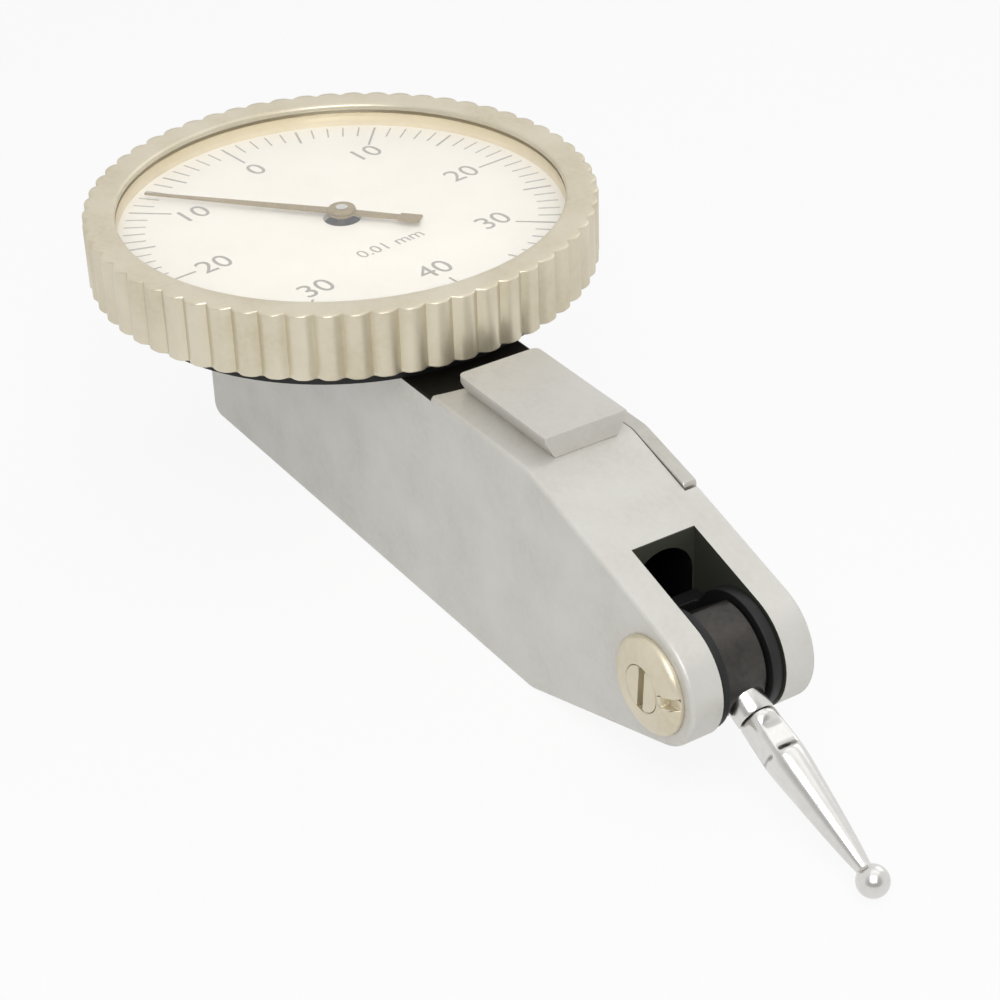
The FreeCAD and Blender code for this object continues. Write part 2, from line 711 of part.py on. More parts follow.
def make_pointer_hub():
    """Turned bush that grips the arbor above the hand, with a bevelled edge."""
    low = pointer_low_z + pointer_thickness
    high = low + pointer_hub_height
    radius = pointer_hub_radius
    edge = pointer_hub_height / 3
    return turned([(arbor_radius, low), (radius, low), (radius, high - edge),
                   (radius - edge, high), (arbor_radius, high)])


def make_centre_arbor():
    """Upright arbor with a fine lower pivot; the pointer sits on its top end."""
    foot = arbor_bridge_high_z - jewel_height + axle_shoulder_gap
    shoulder = arbor_bridge_high_z + axle_shoulder_gap
    top = pointer_low_z + pointer_thickness + pointer_hub_height
    return stepped(foot, [(arbor_pivot_radius, shoulder), (arbor_radius, top)])


def make_centre_pinion():
    """Pinion on the arbor; a gap between two teeth faces the contrate wheel."""
    half_pitch = 180 / centre_pinion_teeth
    points = gear_points(centre_pinion_teeth, centre_pinion_radius, 90 + half_pitch, 0, 0)
    pinion = slab_z(points, centre_pinion_low_z, centre_pinion_low_z + centre_pinion_length)
    return pinion.cut(rod_z(0, 0, arbor_radius, centre_pinion_low_z - 1, cavity_roof_z))


def make_hairspring_collet():
    """Small ring on the arbor that holds the hairspring's inner end."""
    return tube(arbor_radius, collet_radius, hairspring_low_z, hairspring_high_z)


def hairspring_end_radius():
    """Distance from the arbor's axis to the hairspring's outer end."""
    return collet_radius + press_gap + hairspring_turns * hairspring_pitch


def make_hairspring():
    """Flat spiral strip from the collet out to the stud."""
    start = collet_radius + press_gap
    inner = []
    outer = []
    for step in range(hairspring_sides * hairspring_turns + 1):
        turns = step / hairspring_sides
        radius = start + hairspring_pitch * turns
        inner.append(polar(radius, 360 * turns))
        outer.append(polar(radius + hairspring_strip, 360 * turns))
    return slab_z(inner + outer[::-1], hairspring_low_z, hairspring_high_z)


def make_hairspring_stud():
    """Post under the roof that holds the hairspring's outer end."""
    near = hairspring_end_radius() + hairspring_strip
    half = stud_size / 2
    return block((near, near + stud_size), (-half, half), (hairspring_low_z, cavity_roof_z))


def jewel(base, axis, bore):
    """Ring jewel, jewel_height thick, that starts at base and grows along axis."""
    return tube(bore, jewel_radius, 0, jewel_height, base, axis)


def make_arbor_jewels():
    """Lower jewel in the arbor bridge and upper jewel in the case plate."""
    lower = jewel(Vector(0, 0, arbor_bridge_high_z - jewel_height), Z_AXIS, arbor_pivot_radius + pivot_fit)
    upper = jewel(Vector(0, 0, case_plate_high_z - jewel_height), Z_AXIS, arbor_radius + pivot_fit)
    return Part.makeCompound([lower, upper])


# Contrate wheel and its bridges.

def contrate_tooth():
    """One face tooth at the top of the wheel, pointing towards -Y."""
    half_root = tooth_root_share * tooth_pitch
    half_tip = tooth_tip_share * tooth_pitch
    low = pivot_z + contrate_wheel_radius - contrate_tooth_length / 2
    points = [(-half_root, contrate_root_y), (-half_tip, contrate_tip_y),
              (half_tip, contrate_tip_y), (half_root, contrate_root_y)]
    return slab_z(points, low, low + contrate_tooth_length)


def make_contrate_wheel():
    """Crown wheel: a drilled disc with a ring of face teeth."""
    outer = contrate_wheel_radius + contrate_tooth_length / 2 + contrate_rim
    back = contrate_root_y + contrate_disc_thickness
    disc = rod_y(0, pivot_z, outer, contrate_root_y, back)
    for hole in range(contrate_hole_count):
        x, z = polar(contrate_hole_circle, 90 + hole * 360 / contrate_hole_count)
        disc = disc.cut(rod_y(x, pivot_z + z, contrate_hole_radius, contrate_root_y - 1, back + 1))
    disc = disc.cut(rod_y(0, pivot_z, axle_radius, contrate_root_y - 1, back + 1))
    teeth = []
    for index in range(contrate_wheel_teeth):
        tooth = contrate_tooth()
        tooth.rotate(Vector(0, 0, pivot_z), Y_AXIS, index * 360 / contrate_wheel_teeth)
        teeth.append(tooth)
    return disc.fuse(teeth).removeSplitter()


def make_contrate_axle():
    """Cross axle with a fine pivot at each end."""
    near = cavity_near_y + axle_shoulder_gap
    far = bridge_low_y - axle_shoulder_gap
    near_tip = cavity_near_y - jewel_height + axle_shoulder_gap
    far_tip = bridge_high_y - axle_shoulder_gap
    steps = [(arbor_pivot_radius, near), (axle_radius, far), (arbor_pivot_radius, far_tip)]
    return stepped(near_tip, steps, Vector(0, 0, pivot_z), Y_AXIS)


def make_contrate_pinion():
    """Pinion on the cross axle; a gap between two teeth faces the sector."""
    centre_y = (sector_low_y + sector_high_y) / 2
    y_low = centre_y - contrate_pinion_length / 2
    half_pitch = 180 / contrate_pinion_teeth
    points = gear_points(contrate_pinion_teeth, contrate_pinion_radius, half_pitch, 0, pivot_z)
    pinion = slab_y(points, y_low, y_low + contrate_pinion_length)
    return pinion.cut(rod_y(0, pivot_z, axle_radius, y_low - 1, y_low + contrate_pinion_length + 1))


def make_contrate_jewels():
    """Jewels for the cross axle, in the near wall and in the contrate bridge."""
    bore = arbor_pivot_radius + pivot_fit
    near = jewel(Vector(0, cavity_near_y - jewel_height, pivot_z), Y_AXIS, bore)
    far = jewel(Vector(0, bridge_low_y, pivot_z), Y_AXIS, bore)
    return Part.makeCompound([near, far])


def pillar_spots():
    """Centres of the two pillars, on a line that slopes down to the front."""
    return [(-bridge_across, pivot_z + bridge_up), (bridge_across, pivot_z - bridge_up)]


def make_contrate_bridge():
    """Flat bar with round ends over the contrate wheel."""
    half = bridge_arm_width / 2
    reach = math.hypot(bridge_across, bridge_up)
    bar = block((-reach, reach), (bridge_low_y, bridge_high_y), (-half, half))
    bar.rotate(ORIGIN, Y_AXIS, math.degrees(math.atan2(bridge_up, bridge_across)))
    bar.translate(Vector(0, 0, pivot_z))
    ends = [rod_y(x, z, half, bridge_low_y, bridge_high_y) for x, z in pillar_spots()]
    bar = bar.fuse(ends).removeSplitter()
    for x, z in pillar_spots():
        bar = bar.cut(rod_y(x, z, screw_shank_radius, bridge_low_y - 1, bridge_high_y + 1))
    return bar.cut(rod_y(0, pivot_z, jewel_radius, bridge_low_y - 1, bridge_high_y + 1))


def make_bridge_pillars():
    """Two turned pillars from the near wall to the contrate bridge, drilled for the screws."""
    pillars = []
    for x, z in pillar_spots():
        pillar = rod_y(x, z, pillar_radius, cavity_near_y, bridge_low_y)
        pillars.append(pillar.cut(rod_y(x, z, screw_shank_radius, 0, half_width)))
    return Part.makeCompound(pillars)


def make_bridge_screws():
    """Two screws through the contrate bridge and one that holds the arbor bridge to the near wall."""
    head = bridge_cover_gap * 0.7
    steps = [(screw_shank_radius, bridge_high_y), (screw_head_radius, bridge_high_y + head)]
    screws = [stepped(0, steps, Vector(x, 0, z), Y_AXIS) for x, z in pillar_spots()]
    seat = arbor_bridge_width / 2
    steps = [(screw_shank_radius, seat), (screw_head_radius, seat + screw_head_height)]
    x, z = arbor_bridge_screw_spot()
    screws.append(stepped(cavity_near_y, steps, Vector(x, 0, z), Y_AXIS))
    return Part.makeCompound(screws)


def arbor_bridge_screw_spot():
    """Centre of the arbor bridge's screw."""
    return (arbor_bridge_foot_x + arbor_bridge_foot_length / 2,
            arbor_bridge_high_z - arbor_bridge_foot_height / 2)


def make_arbor_bridge():
    """Bracket on the near wall whose arm reaches under the centre arbor."""
    half = arbor_bridge_width / 2
    foot_low_z = arbor_bridge_high_z - arbor_bridge_foot_height
    foot = block((arbor_bridge_foot_x, arbor_bridge_foot_x + arbor_bridge_foot_length),
                 (cavity_near_y, half), (foot_low_z, arbor_bridge_high_z))
    arm = block((arbor_bridge_foot_x, 0), (-half, half), (arbor_bridge_low_z, arbor_bridge_high_z))
    end = rod_z(0, 0, half, arbor_bridge_low_z, arbor_bridge_high_z)
    bridge = foot.fuse([arm, end]).removeSplitter()
    jewel_seat_z = arbor_bridge_high_z - jewel_height
    bridge = bridge.cut(rod_z(0, 0, jewel_radius, jewel_seat_z, arbor_bridge_high_z + 1))
    x, z = arbor_bridge_screw_spot()
    return bridge.cut(rod_y(x, z, screw_shank_radius, cavity_near_y - 1, half + 1))


# Measuring lever.

def make_measuring_lever():
    """Fork on the pivot with a block behind the swivel and a bar that runs back into the cavity."""
    block_rear = pivot_x - fork_bridge_radius
    half_block = fork_bridge_height / 2
    cheeks = []
    for y_low, y_high in ((fork_low_y, fork_low_y + near_cheek), (fork_high_y - far_cheek, fork_high_y)):
        cheek = rod_y(pivot_x, pivot_z, fork_radius, y_low, y_high)
        ear = block((block_rear, pivot_x), (y_low, y_high), (pivot_z - half_block, pivot_z + half_block))
        cheeks.append(cheek.fuse(ear))
    block_front = pivot_x - swivel_radius - 2 * fork_margin
    joining = block((block_rear, block_front), (fork_low_y, fork_high_y),
                    (pivot_z - half_block, pivot_z + half_block))
    bar = block((bar_rear_x, block_front), (sector_high_y, bar_high_y),
                (pivot_z - bar_height / 2, pivot_z + bar_height / 2))
    lever = cheeks[0].fuse([cheeks[1], joining, bar])
    lever = lever.cut(rod_y(pivot_x, pivot_z, swivel_pin_radius, -slot_width, slot_width))
    for x in rivet_xs:
        lever = lever.cut(rod_y(x, pivot_z, rivet_radius, -half_width, half_width))
    lever = lever.cut(make_bias_post())
    return lever.removeSplitter()


def make_sector_gear():
    """Plate that widens from the bar to a short row of teeth about the pivot."""
    pitch_angle = math.degrees(tooth_pitch / sector_radius)
    points = [(stop_pin_x + stop_pin_radius * 1.5, pivot_z + bar_height / 2),
              (stop_pin_x - stop_pin_radius * 2, pivot_z + bar_height / 2)]

    def rim_point(tooth, height):
        across, up = polar(sector_radius + height, 180 - tooth * pitch_angle)
        return pivot_x + across, pivot_z + up

    points.append(rim_point(sector_teeth_above + 0.5, -sector_radius / 25))
    points.append(rim_point(sector_teeth_above + 0.5, -dedendum))
    for tooth in range(sector_teeth_above, -sector_teeth_below - 1, -1):
        for share, height in ((tooth_root_share, -dedendum), (tooth_tip_share, addendum),
                              (-tooth_tip_share, addendum), (-tooth_root_share, -dedendum)):
            points.append(rim_point(tooth + share, height))
    points.append(rim_point(-sector_teeth_below - 0.5, -dedendum))
    points.append(rim_point(-sector_teeth_below - 0.5, -sector_radius / 25))
    points.append((stop_pin_x - stop_pin_radius * 2, pivot_z - bar_height / 2))
    points.append((stop_pin_x + stop_pin_radius * 1.5, pivot_z - bar_height / 2))
    sector = slab_y(points, sector_low_y, sector_high_y)
    for x in rivet_xs:
        sector = sector.cut(rod_y(x, pivot_z, rivet_radius, -half_width, half_width))
    return sector


def make_sector_rivets():
    """Two rivets through the sector and the bar."""
    return Part.makeCompound([rod_y(x, pivot_z, rivet_radius, sector_low_y, bar_high_y) for x in rivet_xs])


def make_travel_stop_pins():
    """Two pins in the near wall that limit the lever's swing."""
    return Part.makeCompound([rod_y(stop_pin_x, z, stop_pin_radius, stop_pin_foot_y, bar_high_y)
                              for z in stop_pin_zs()])


def make_swivel_pin():
    """Pin through fork and swivel, with a bore in each end for the pivot screws."""
    pin = rod_y(pivot_x, pivot_z, swivel_pin_radius, fork_low_y, fork_high_y)
    bore = pivot_tip_radius + pivot_fit
    near = rod_y(pivot_x, pivot_z, bore, fork_low_y - 1, fork_low_y + pivot_tip_length + pivot_end_gap)
    far = rod_y(pivot_x, pivot_z, bore, fork_high_y - pivot_tip_length - pivot_end_gap, fork_high_y + 1)
    return pin.cut([near, far])


def pivot_screw(head, axis):
    """Screw from its head through an ear, with a fine tip in the swivel pin's bore."""
    shoulder = abs(head.y) - slot_width / 2 - pivot_end_gap
    return stepped(0, [(pivot_screw_radius, shoulder),
                       (pivot_tip_radius, shoulder + fork_side_gap + pivot_tip_length)], head, axis)


def make_left_pivot_screw():
    """Slotted pivot screw in the near ear, level with the ring nut."""
    head = Vector(pivot_x, -half_width - ring_nut_height, pivot_z)
    return slot_across(pivot_screw(head, Y_AXIS), head, -Y_AXIS, pivot_slot_angle)


def make_right_pivot_screw():
    """Slotted pivot screw in the far ear, level with the ear's face."""
    head = Vector(pivot_x, half_width, pivot_z)
    return slot_across(pivot_screw(head, -Y_AXIS), head, Y_AXIS, pivot_slot_angle / 2)


def make_pivot_ring_nut():
    """Bevelled ring nut with two opposite spanner notches."""
    base = Vector(pivot_x, -half_width, pivot_z)
    face_radius = ring_nut_radius - ring_nut_bevel
    nut = turned([(pivot_screw_radius, 0), (ring_nut_radius, 0),
                  (ring_nut_radius, ring_nut_height - ring_nut_bevel),
                  (face_radius, ring_nut_height), (pivot_screw_radius, ring_nut_height)], base, -Y_AXIS)
    for side in (0, 180):
        notch = block((ring_nut_radius - ring_nut_notch_depth, ring_nut_radius + 1),
                      (-ring_nut_height, ring_nut_height * 0.1),
                      (-ring_nut_notch_width / 2, ring_nut_notch_width / 2))
        notch.rotate(ORIGIN, -Y_AXIS, ring_nut_notch_angle + side)
        notch.translate(base - Y_AXIS * ring_nut_height * 0.1)
        nut = nut.cut(notch)
    return nut


# Stylus and swivel.

def stylus_direction():
    """Unit vector from the pivot to the ball."""
    across, up = polar(1, stylus_angle)
    return Vector(across, 0, up)


def along_stylus(start, steps):
    """Turned rod on the stylus axis; heights are distances from the pivot."""
    return stepped(start, steps, Vector(pivot_x, 0, pivot_z), stylus_direction())


def make_swivel_hub():
    """Round hub between the fork's cheeks, with one flat and a hole for the stylus socket."""
    hub = rod_y(pivot_x, pivot_z, swivel_radius, swivel_low_y, swivel_high_y)
    flat = block((swivel_radius - swivel_facet_depth, 2 * swivel_radius), (-slot_width, slot_width),
                 (-swivel_radius, swivel_radius))
    flat.rotate(ORIGIN, -Y_AXIS, swivel_facet_angle)
    flat.translate(Vector(pivot_x, 0, pivot_z))
    hub = hub.cut(flat)
    hub = hub.cut(rod_y(pivot_x, pivot_z, swivel_pin_radius + swivel_fit, -slot_width, slot_width))
    return hub.cut(along_stylus(socket_seat, [(socket_radius, socket_end)]))


def make_friction_washer():
    """Thin spring washer that keeps the swivel stiff."""
    radius = swivel_radius - friction_washer_margin
    washer = rod_y(pivot_x, pivot_z, radius, swivel_high_y, washer_high_y)
    return washer.cut(rod_y(pivot_x, pivot_z, swivel_pin_radius + swivel_fit, 0, slot_width))


def make_stylus_socket():
    """Threaded collar fixed in the hub; the stylus screws into it."""
    socket = along_stylus(socket_seat, [(socket_radius, socket_end)])
    return socket.cut(along_stylus(socket_end - thread_length, [(thread_radius, socket_end + 1)]))


def make_stylus_shank():
    """Tapering stylus with a threaded root and two spanner flats."""
    root = socket_end - thread_length
    neck = ball_distance - ball_radius - neck_length
    tip = ball_distance - ball_radius + ball_socket_depth
    pivot = Vector(pivot_x, 0, pivot_z)
    shank = turned([(0, root), (thread_radius, root), (thread_radius, socket_end),
                    (shank_shoulder_radius, socket_end), (shank_belly_radius, socket_end + belly_distance),
                    (shank_neck_radius, neck), (shank_neck_radius, tip), (0, tip)],
                   pivot, stylus_direction())
    for side in (-1, 1):
        near, far = sorted((side * flats_half_width, side * 2 * shank_belly_radius))
        flat = Part.makeBox(2 * shank_belly_radius, far - near, flats_end - flats_start,
                            Vector(-shank_belly_radius, near, socket_end + flats_start))
        flat.Placement = FreeCAD.Placement(pivot, FreeCAD.Rotation(Z_AXIS, stylus_direction()))
        shank = shank.cut(flat)
    return shank


def make_stylus_ball():
    """Contact ball, drilled for the stylus neck."""
    centre = Vector(pivot_x, 0, pivot_z) + stylus_direction() * ball_distance
    ball = Part.makeSphere(ball_radius, centre)
    end = ball_distance - ball_radius + ball_socket_depth
    return ball.cut(along_stylus(ball_distance - 2 * ball_radius, [(shank_neck_radius, end)]))


# Reversing lever and bias spring.

def make_reversing_lever():
    """Finger lever let into the +Y side; its edge follows the body's outline to the tip."""
    low = half_width - reversing_thickness
    blade = rounded_slab_y(reversing_corners(0), low, half_width)
    disc = rod_y(reversing_x, reversing_z, reversing_disc_radius, low, half_width)
    lever = blade.fuse(disc).removeSplitter()
    head_seat = half_width - reversing_head_height
    lever = lever.cut(rod_y(reversing_x, reversing_z, reversing_head_radius, head_seat, half_width + 1))
    return lever.cut(rod_y(reversing_x, reversing_z, reversing_shaft_radius, 0, half_width))


def cam_range():
    """Y limits of the cam, just inside the passage's wall."""
    high = passage_side_y - reversing_cam_gap
    return high - reversing_cam_thickness, high


def make_reversing_shaft():
    """Slotted headed shaft through the wall, fixed in the lever and in the cam."""
    head = Vector(reversing_x, half_width, reversing_z)
    length = half_width - cam_range()[0]
    steps = [(reversing_head_radius, reversing_head_height), (reversing_shaft_radius, length)]
    shaft = stepped(0, steps, head, -Y_AXIS)
    return slot_across(shaft, head, Y_AXIS, reversing_slot_angle)


def bias_spring_y():
    """Distance of the bias wire from the middle plane."""
    return cam_range()[0] - bias_wire / 2 - bias_gap


def bias_spring_z():
    """Height of the bias wire, just under the post on the bar."""
    return pivot_z - bias_post_radius - bias_wire / 2 - bias_gap


def make_reversing_cam():
    """Round cam in the passage with a stub that holds the bias wire."""
    low, high = cam_range()
    cam = rod_y(reversing_x, reversing_z, reversing_cam_radius, low, high)
    cam = cam.cut(rod_y(reversing_x, reversing_z, reversing_shaft_radius, low - 1, high + 1))
    wire_z = bias_spring_z()
    stub = block((reversing_x + reversing_shaft_radius, reversing_x + reversing_cam_radius),
                 (low - bias_wire - 2 * bias_gap, low), (wire_z - bias_wire, wire_z + bias_wire))
    wire_hole = Part.makeCylinder(bias_wire / 2, reversing_cam_radius,
                                  Vector(reversing_x, bias_spring_y(), wire_z), X_AXIS)
    return cam.fuse(stub).cut(wire_hole)


def make_bias_spring():
    """Straight spring wire from the cam's stub to a place under the lever's post."""
    start = reversing_x + reversing_shaft_radius
    return Part.makeCylinder(bias_wire / 2, bias_post_x + bias_spring_overhang - start,
                             Vector(start, bias_spring_y(), bias_spring_z()), X_AXIS)


def make_bias_post():
    """Post on the lever's bar that the bias wire presses against."""
    foot = bar_high_y - bar_thickness / 2
    return rod_y(bias_post_x, pivot_z, bias_post_radius, foot, bar_high_y + bias_post_length)


PIECES = {
    "body": make_body,
    "side_cover": make_side_cover,
    "side_cover_screws": make_side_cover_screws,
    "case_plate": make_case_plate,
    "case_plate_screws": make_case_plate_screws,
    "bezel": make_bezel,
    "bezel_friction_ring": make_friction_ring,
    "dial_carrier": make_dial_carrier,
    "dial": make_dial,
    "dial_spacer_ring": make_dial_spacer_ring,
    "crystal": make_crystal,
    "pointer": make_pointer,
    "pointer_hub": make_pointer_hub,
    "centre_arbor": make_centre_arbor,
    "centre_pinion": make_centre_pinion,
    "arbor_jewels": make_arbor_jewels,
    "hairspring_collet": make_hairspring_collet,
    "hairspring": make_hairspring,
    "hairspring_stud": make_hairspring_stud,
    "contrate_wheel": make_contrate_wheel,
    "contrate_axle": make_contrate_axle,
    "contrate_pinion": make_contrate_pinion,
    "contrate_jewels": make_contrate_jewels,
    "contrate_bridge": make_contrate_bridge,
    "bridge_pillars": make_bridge_pillars,
    "bridge_screws": make_bridge_screws,
    "arbor_bridge": make_arbor_bridge,
    "measuring_lever": make_measuring_lever,
    "sector_gear": make_sector_gear,
    "sector_rivets": make_sector_rivets,
    "travel_stop_pins": make_travel_stop_pins,
    "swivel_pin": make_swivel_pin,
    "friction_washer": make_friction_washer,
    "swivel_hub": make_swivel_hub,
    "stylus_socket": make_stylus_socket,
    "stylus_shank": make_stylus_shank,
    "stylus_ball": make_stylus_ball,
    "left_pivot_screw": make_left_pivot_screw,
    "right_pivot_screw": make_right_pivot_screw,
    "pivot_ring_nut": make_pivot_ring_nut,
    "reversing_lever": make_reversing_lever,
    "reversing_shaft": make_reversing_shaft,
    "reversing_cam": make_reversing_cam,
    "bias_spring": make_bias_spring,
    "bias_spring_post": make_bias_post,
}

os.makedirs("parts", exist_ok=True)
for node, make in PIECES.items():
    make().exportStep(f"parts/{node}.step")
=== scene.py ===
# %% [markdown]
# # A lever type dial test indicator
# A dial test indicator is a small instrument of a toolroom. A ball on a short stylus swings a
# lever, a gear train magnifies the swing, and a pointer shows it on a dial that turns with its
# fluted bezel. The solids of every part, with their joints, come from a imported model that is
# loaded first. This lesson gives those solids soft edges, print, screw slots, flutes and metal
# finishes, and builds the studio around them.

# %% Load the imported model
import json
import math

import bmesh
import bpy
from mathutils import Matrix, Vector

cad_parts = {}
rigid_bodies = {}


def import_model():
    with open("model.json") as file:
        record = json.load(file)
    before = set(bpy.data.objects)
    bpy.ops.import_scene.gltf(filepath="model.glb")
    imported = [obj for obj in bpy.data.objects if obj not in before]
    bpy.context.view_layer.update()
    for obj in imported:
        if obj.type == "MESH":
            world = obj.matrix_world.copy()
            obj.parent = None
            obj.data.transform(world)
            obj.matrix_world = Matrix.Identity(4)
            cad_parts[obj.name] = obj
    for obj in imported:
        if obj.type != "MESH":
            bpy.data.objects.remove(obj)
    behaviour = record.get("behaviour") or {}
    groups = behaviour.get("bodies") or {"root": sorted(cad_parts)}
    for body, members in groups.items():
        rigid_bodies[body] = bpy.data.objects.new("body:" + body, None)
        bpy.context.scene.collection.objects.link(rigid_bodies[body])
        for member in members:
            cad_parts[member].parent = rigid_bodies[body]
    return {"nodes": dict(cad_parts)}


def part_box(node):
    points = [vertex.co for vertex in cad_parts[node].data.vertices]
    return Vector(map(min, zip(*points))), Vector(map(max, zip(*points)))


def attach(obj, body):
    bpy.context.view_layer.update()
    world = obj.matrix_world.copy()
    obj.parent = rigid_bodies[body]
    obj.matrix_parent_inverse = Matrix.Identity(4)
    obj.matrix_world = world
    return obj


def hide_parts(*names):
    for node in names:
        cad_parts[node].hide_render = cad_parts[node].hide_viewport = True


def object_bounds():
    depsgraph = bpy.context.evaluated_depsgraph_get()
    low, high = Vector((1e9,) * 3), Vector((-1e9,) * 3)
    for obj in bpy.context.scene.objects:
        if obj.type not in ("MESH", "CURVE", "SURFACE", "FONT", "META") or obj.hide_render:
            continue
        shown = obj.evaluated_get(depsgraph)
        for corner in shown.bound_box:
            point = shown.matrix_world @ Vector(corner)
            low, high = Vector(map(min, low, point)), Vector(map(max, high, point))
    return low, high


for leftover in list(bpy.data.objects):
    bpy.data.objects.remove(leftover)
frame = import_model()
MM = 0.001
cad_box = [[float(value) for value in corner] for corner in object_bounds()]
nodes = frame["nodes"]
print("loaded", len(nodes), "nodes")


def low(node):
    """Lowest corner of a node's box, in millimetres."""
    return [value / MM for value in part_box(node)[0]]


def high(node):
    """Highest corner of a node's box, in millimetres."""
    return [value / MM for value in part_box(node)[1]]


def metres(x, y, z):
    """A point given in millimetres."""
    return Vector((x * MM, y * MM, z * MM))


# %% [markdown]
# ## Camera
# The instrument is seen from its stylus end, a little from the left and from above. A long lens
# keeps the dial's ellipse calm. The three axes of the camera are worked out from its heading,
# its downward pitch and a small roll, because a matrix built from axes can't be misread.

# %% Camera
lens = bpy.data.cameras.new("studio_camera")
camera = bpy.data.objects.new("studio_camera", lens)
bpy.context.scene.collection.objects.link(camera)
CAMERA_PLACE = (139.82, -75.55, 97.26)
CAMERA_LENGTH, CAMERA_SENSOR = 92.38, 36
heading, pitch, roll = math.radians(57.98), math.radians(32.26), -0.035
right = Vector((math.cos(heading), math.sin(heading), 0))
back = Vector((math.sin(heading) * math.cos(pitch), -math.cos(heading) * math.cos(pitch), math.sin(pitch)))
above = back.cross(right)
across = right * math.cos(roll) + above * math.sin(roll)
upward = above * math.cos(roll) - right * math.sin(roll)
camera.matrix_world = Matrix.Translation(metres(*CAMERA_PLACE)) @ Matrix(
    (across, upward, back)).transposed().to_4x4()
lens.lens, lens.sensor_width = CAMERA_LENGTH, CAMERA_SENSOR
lens.clip_start, lens.clip_end = 0.01, 20    # metres
bpy.context.scene.camera = camera
print("camera looks along", [round(value, 3) for value in -back])

# %% [markdown]
# ## Working by hand, in code
# Every operator acts on what is selected, so each helper first clears the selection. Parts are
# picked in edit mode by their place or direction, never by number, so a change of size in the
# solids doesn't break the lesson.

# %% Helpers for selecting and editing


def make_active(*pieces):
    """Selects only these pieces; the last one is active."""
    if bpy.context.object and bpy.context.object.mode != "OBJECT":
        bpy.ops.object.mode_set(mode="OBJECT")
    bpy.ops.object.select_all(action="DESELECT")
    for piece in pieces:
        piece.select_set(True)
        bpy.context.view_layer.objects.active = piece
    return pieces[-1]


def edit(piece, kind="VERT"):
    """Opens a piece in edit mode with nothing selected, and returns its mesh."""
    make_active(piece)
    bpy.ops.object.mode_set(mode="EDIT")
    bpy.ops.mesh.select_mode(type=kind)
    bpy.ops.mesh.select_all(action="DESELECT")
    return bmesh.from_edit_mesh(piece.data)


def choose(piece, shape, chosen):
    """Selects the given verts, edges or faces of an open piece, and counts them."""
    count = 0
    for part in chosen:
        part.select_set(True)
        count += 1
    shape.select_flush_mode()
    bmesh.update_edit_mesh(piece.data)
    return count


def apply_modifier(piece, kind, **settings):
    """Adds a modifier, sets it and applies it."""
    make_active(piece)
    modifier = piece.modifiers.new(kind.lower(), kind)
    for setting, value in settings.items():
        setattr(modifier, setting, value)
    bpy.ops.object.modifier_apply(modifier=modifier.name)


def done(piece, smooth_below=30):
    """Leaves edit mode, smooths edges flatter than an angle, and keeps large faces flat beside bevels."""
    bpy.ops.object.mode_set(mode="OBJECT")
    make_active(piece)
    bpy.ops.object.shade_smooth_by_angle(angle=math.radians(smooth_below))
    apply_modifier(piece, "WEIGHTED_NORMAL", keep_sharp=True, weight=100)
    return piece


def named(name):
    """Gives the active object its name."""
    piece = bpy.context.object
    piece.name = piece.data.name = name
    return piece


# %% [markdown]
# ## Two ways to make a piece
# Round pieces are turned: one vertex is extruded along the half outline, and Spin carries that
# line round the axis, as a lathe does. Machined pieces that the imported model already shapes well
# are copied, their loose triangles are merged into whole faces, and their sharp edges are
# bevelled, because no real edge is perfectly sharp and the thin highlights are what the eye
# reads as metal.

# %% Turned pieces and softened copies


def turn(name, outline, centre=(0, 0, 0), axis=(0, 0, 1), steps=96, smooth_below=40):
    """Turns a closed solid from (radius, height) points in millimetres about an axis."""
    axis = Vector(axis).normalized()
    side = Vector((0, 1, 0)) if abs(axis.y) < 0.9 else Vector((0, 0, 1))
    side = (side - axis * side.dot(axis)).normalized()
    centre = metres(*centre)
    spots = [centre + side * radius * MM + axis * height * MM for radius, height in outline]
    bpy.ops.object.select_all(action="DESELECT")
    bpy.ops.mesh.primitive_plane_add(size=MM, location=spots[0])
    piece = named(name)
    make_active(piece)
    bpy.ops.object.transform_apply(location=True, rotation=True, scale=True)
    edit(piece)
    bpy.ops.mesh.select_all(action="SELECT")
    bpy.ops.mesh.merge(type="CENTER")
    for before, here in zip(spots, spots[1:]):
        bpy.ops.mesh.extrude_vertices_move(TRANSFORM_OT_translate={"value": here - before})
    bpy.ops.mesh.select_all(action="SELECT")
    bpy.ops.mesh.spin(steps=steps, angle=2 * math.pi, center=centre, axis=axis)
    bpy.ops.mesh.select_all(action="SELECT")
    bpy.ops.mesh.remove_doubles(threshold=1e-7)
    bpy.ops.mesh.normals_make_consistent(inside=False)
    return done(piece, smooth_below)


def merged_copy(node, name):
    """Copies a node's mesh and merges its loose triangles into whole faces."""
    make_active(nodes[node])
    bpy.ops.object.duplicate(linked=False)
    piece = named(name)
    edit(piece)
    bpy.ops.mesh.select_all(action="SELECT")
    bpy.ops.mesh.remove_doubles(threshold=2e-6)
    bpy.ops.mesh.dissolve_limited(angle_limit=math.radians(0.4))
    bpy.ops.object.mode_set(mode="OBJECT")
    make_active(piece)
    bpy.ops.mesh.customdata_custom_splitnormals_clear()
    return piece


def sharp(edge, least=30):
    """True for an edge between two faces that meet at more than an angle."""
    return len(edge.link_faces) == 2 and edge.calc_face_angle() > math.radians(least)


def soften(piece, width, wanted=None, segments=3, smooth_below=30, least=30):
    """Bevels the sharp edges of a piece, or those of them that are wanted."""
    shape = edit(piece, "EDGE")
    count = choose(piece, shape, [edge for edge in shape.edges
                                  if sharp(edge, least) and (wanted is None or wanted(edge))])
    bpy.ops.mesh.bevel(offset=width * MM, segments=segments, affect="EDGES", clamp_overlap=False)
    print(piece.name, "softened", count, "edges")
    return done(piece, smooth_below)


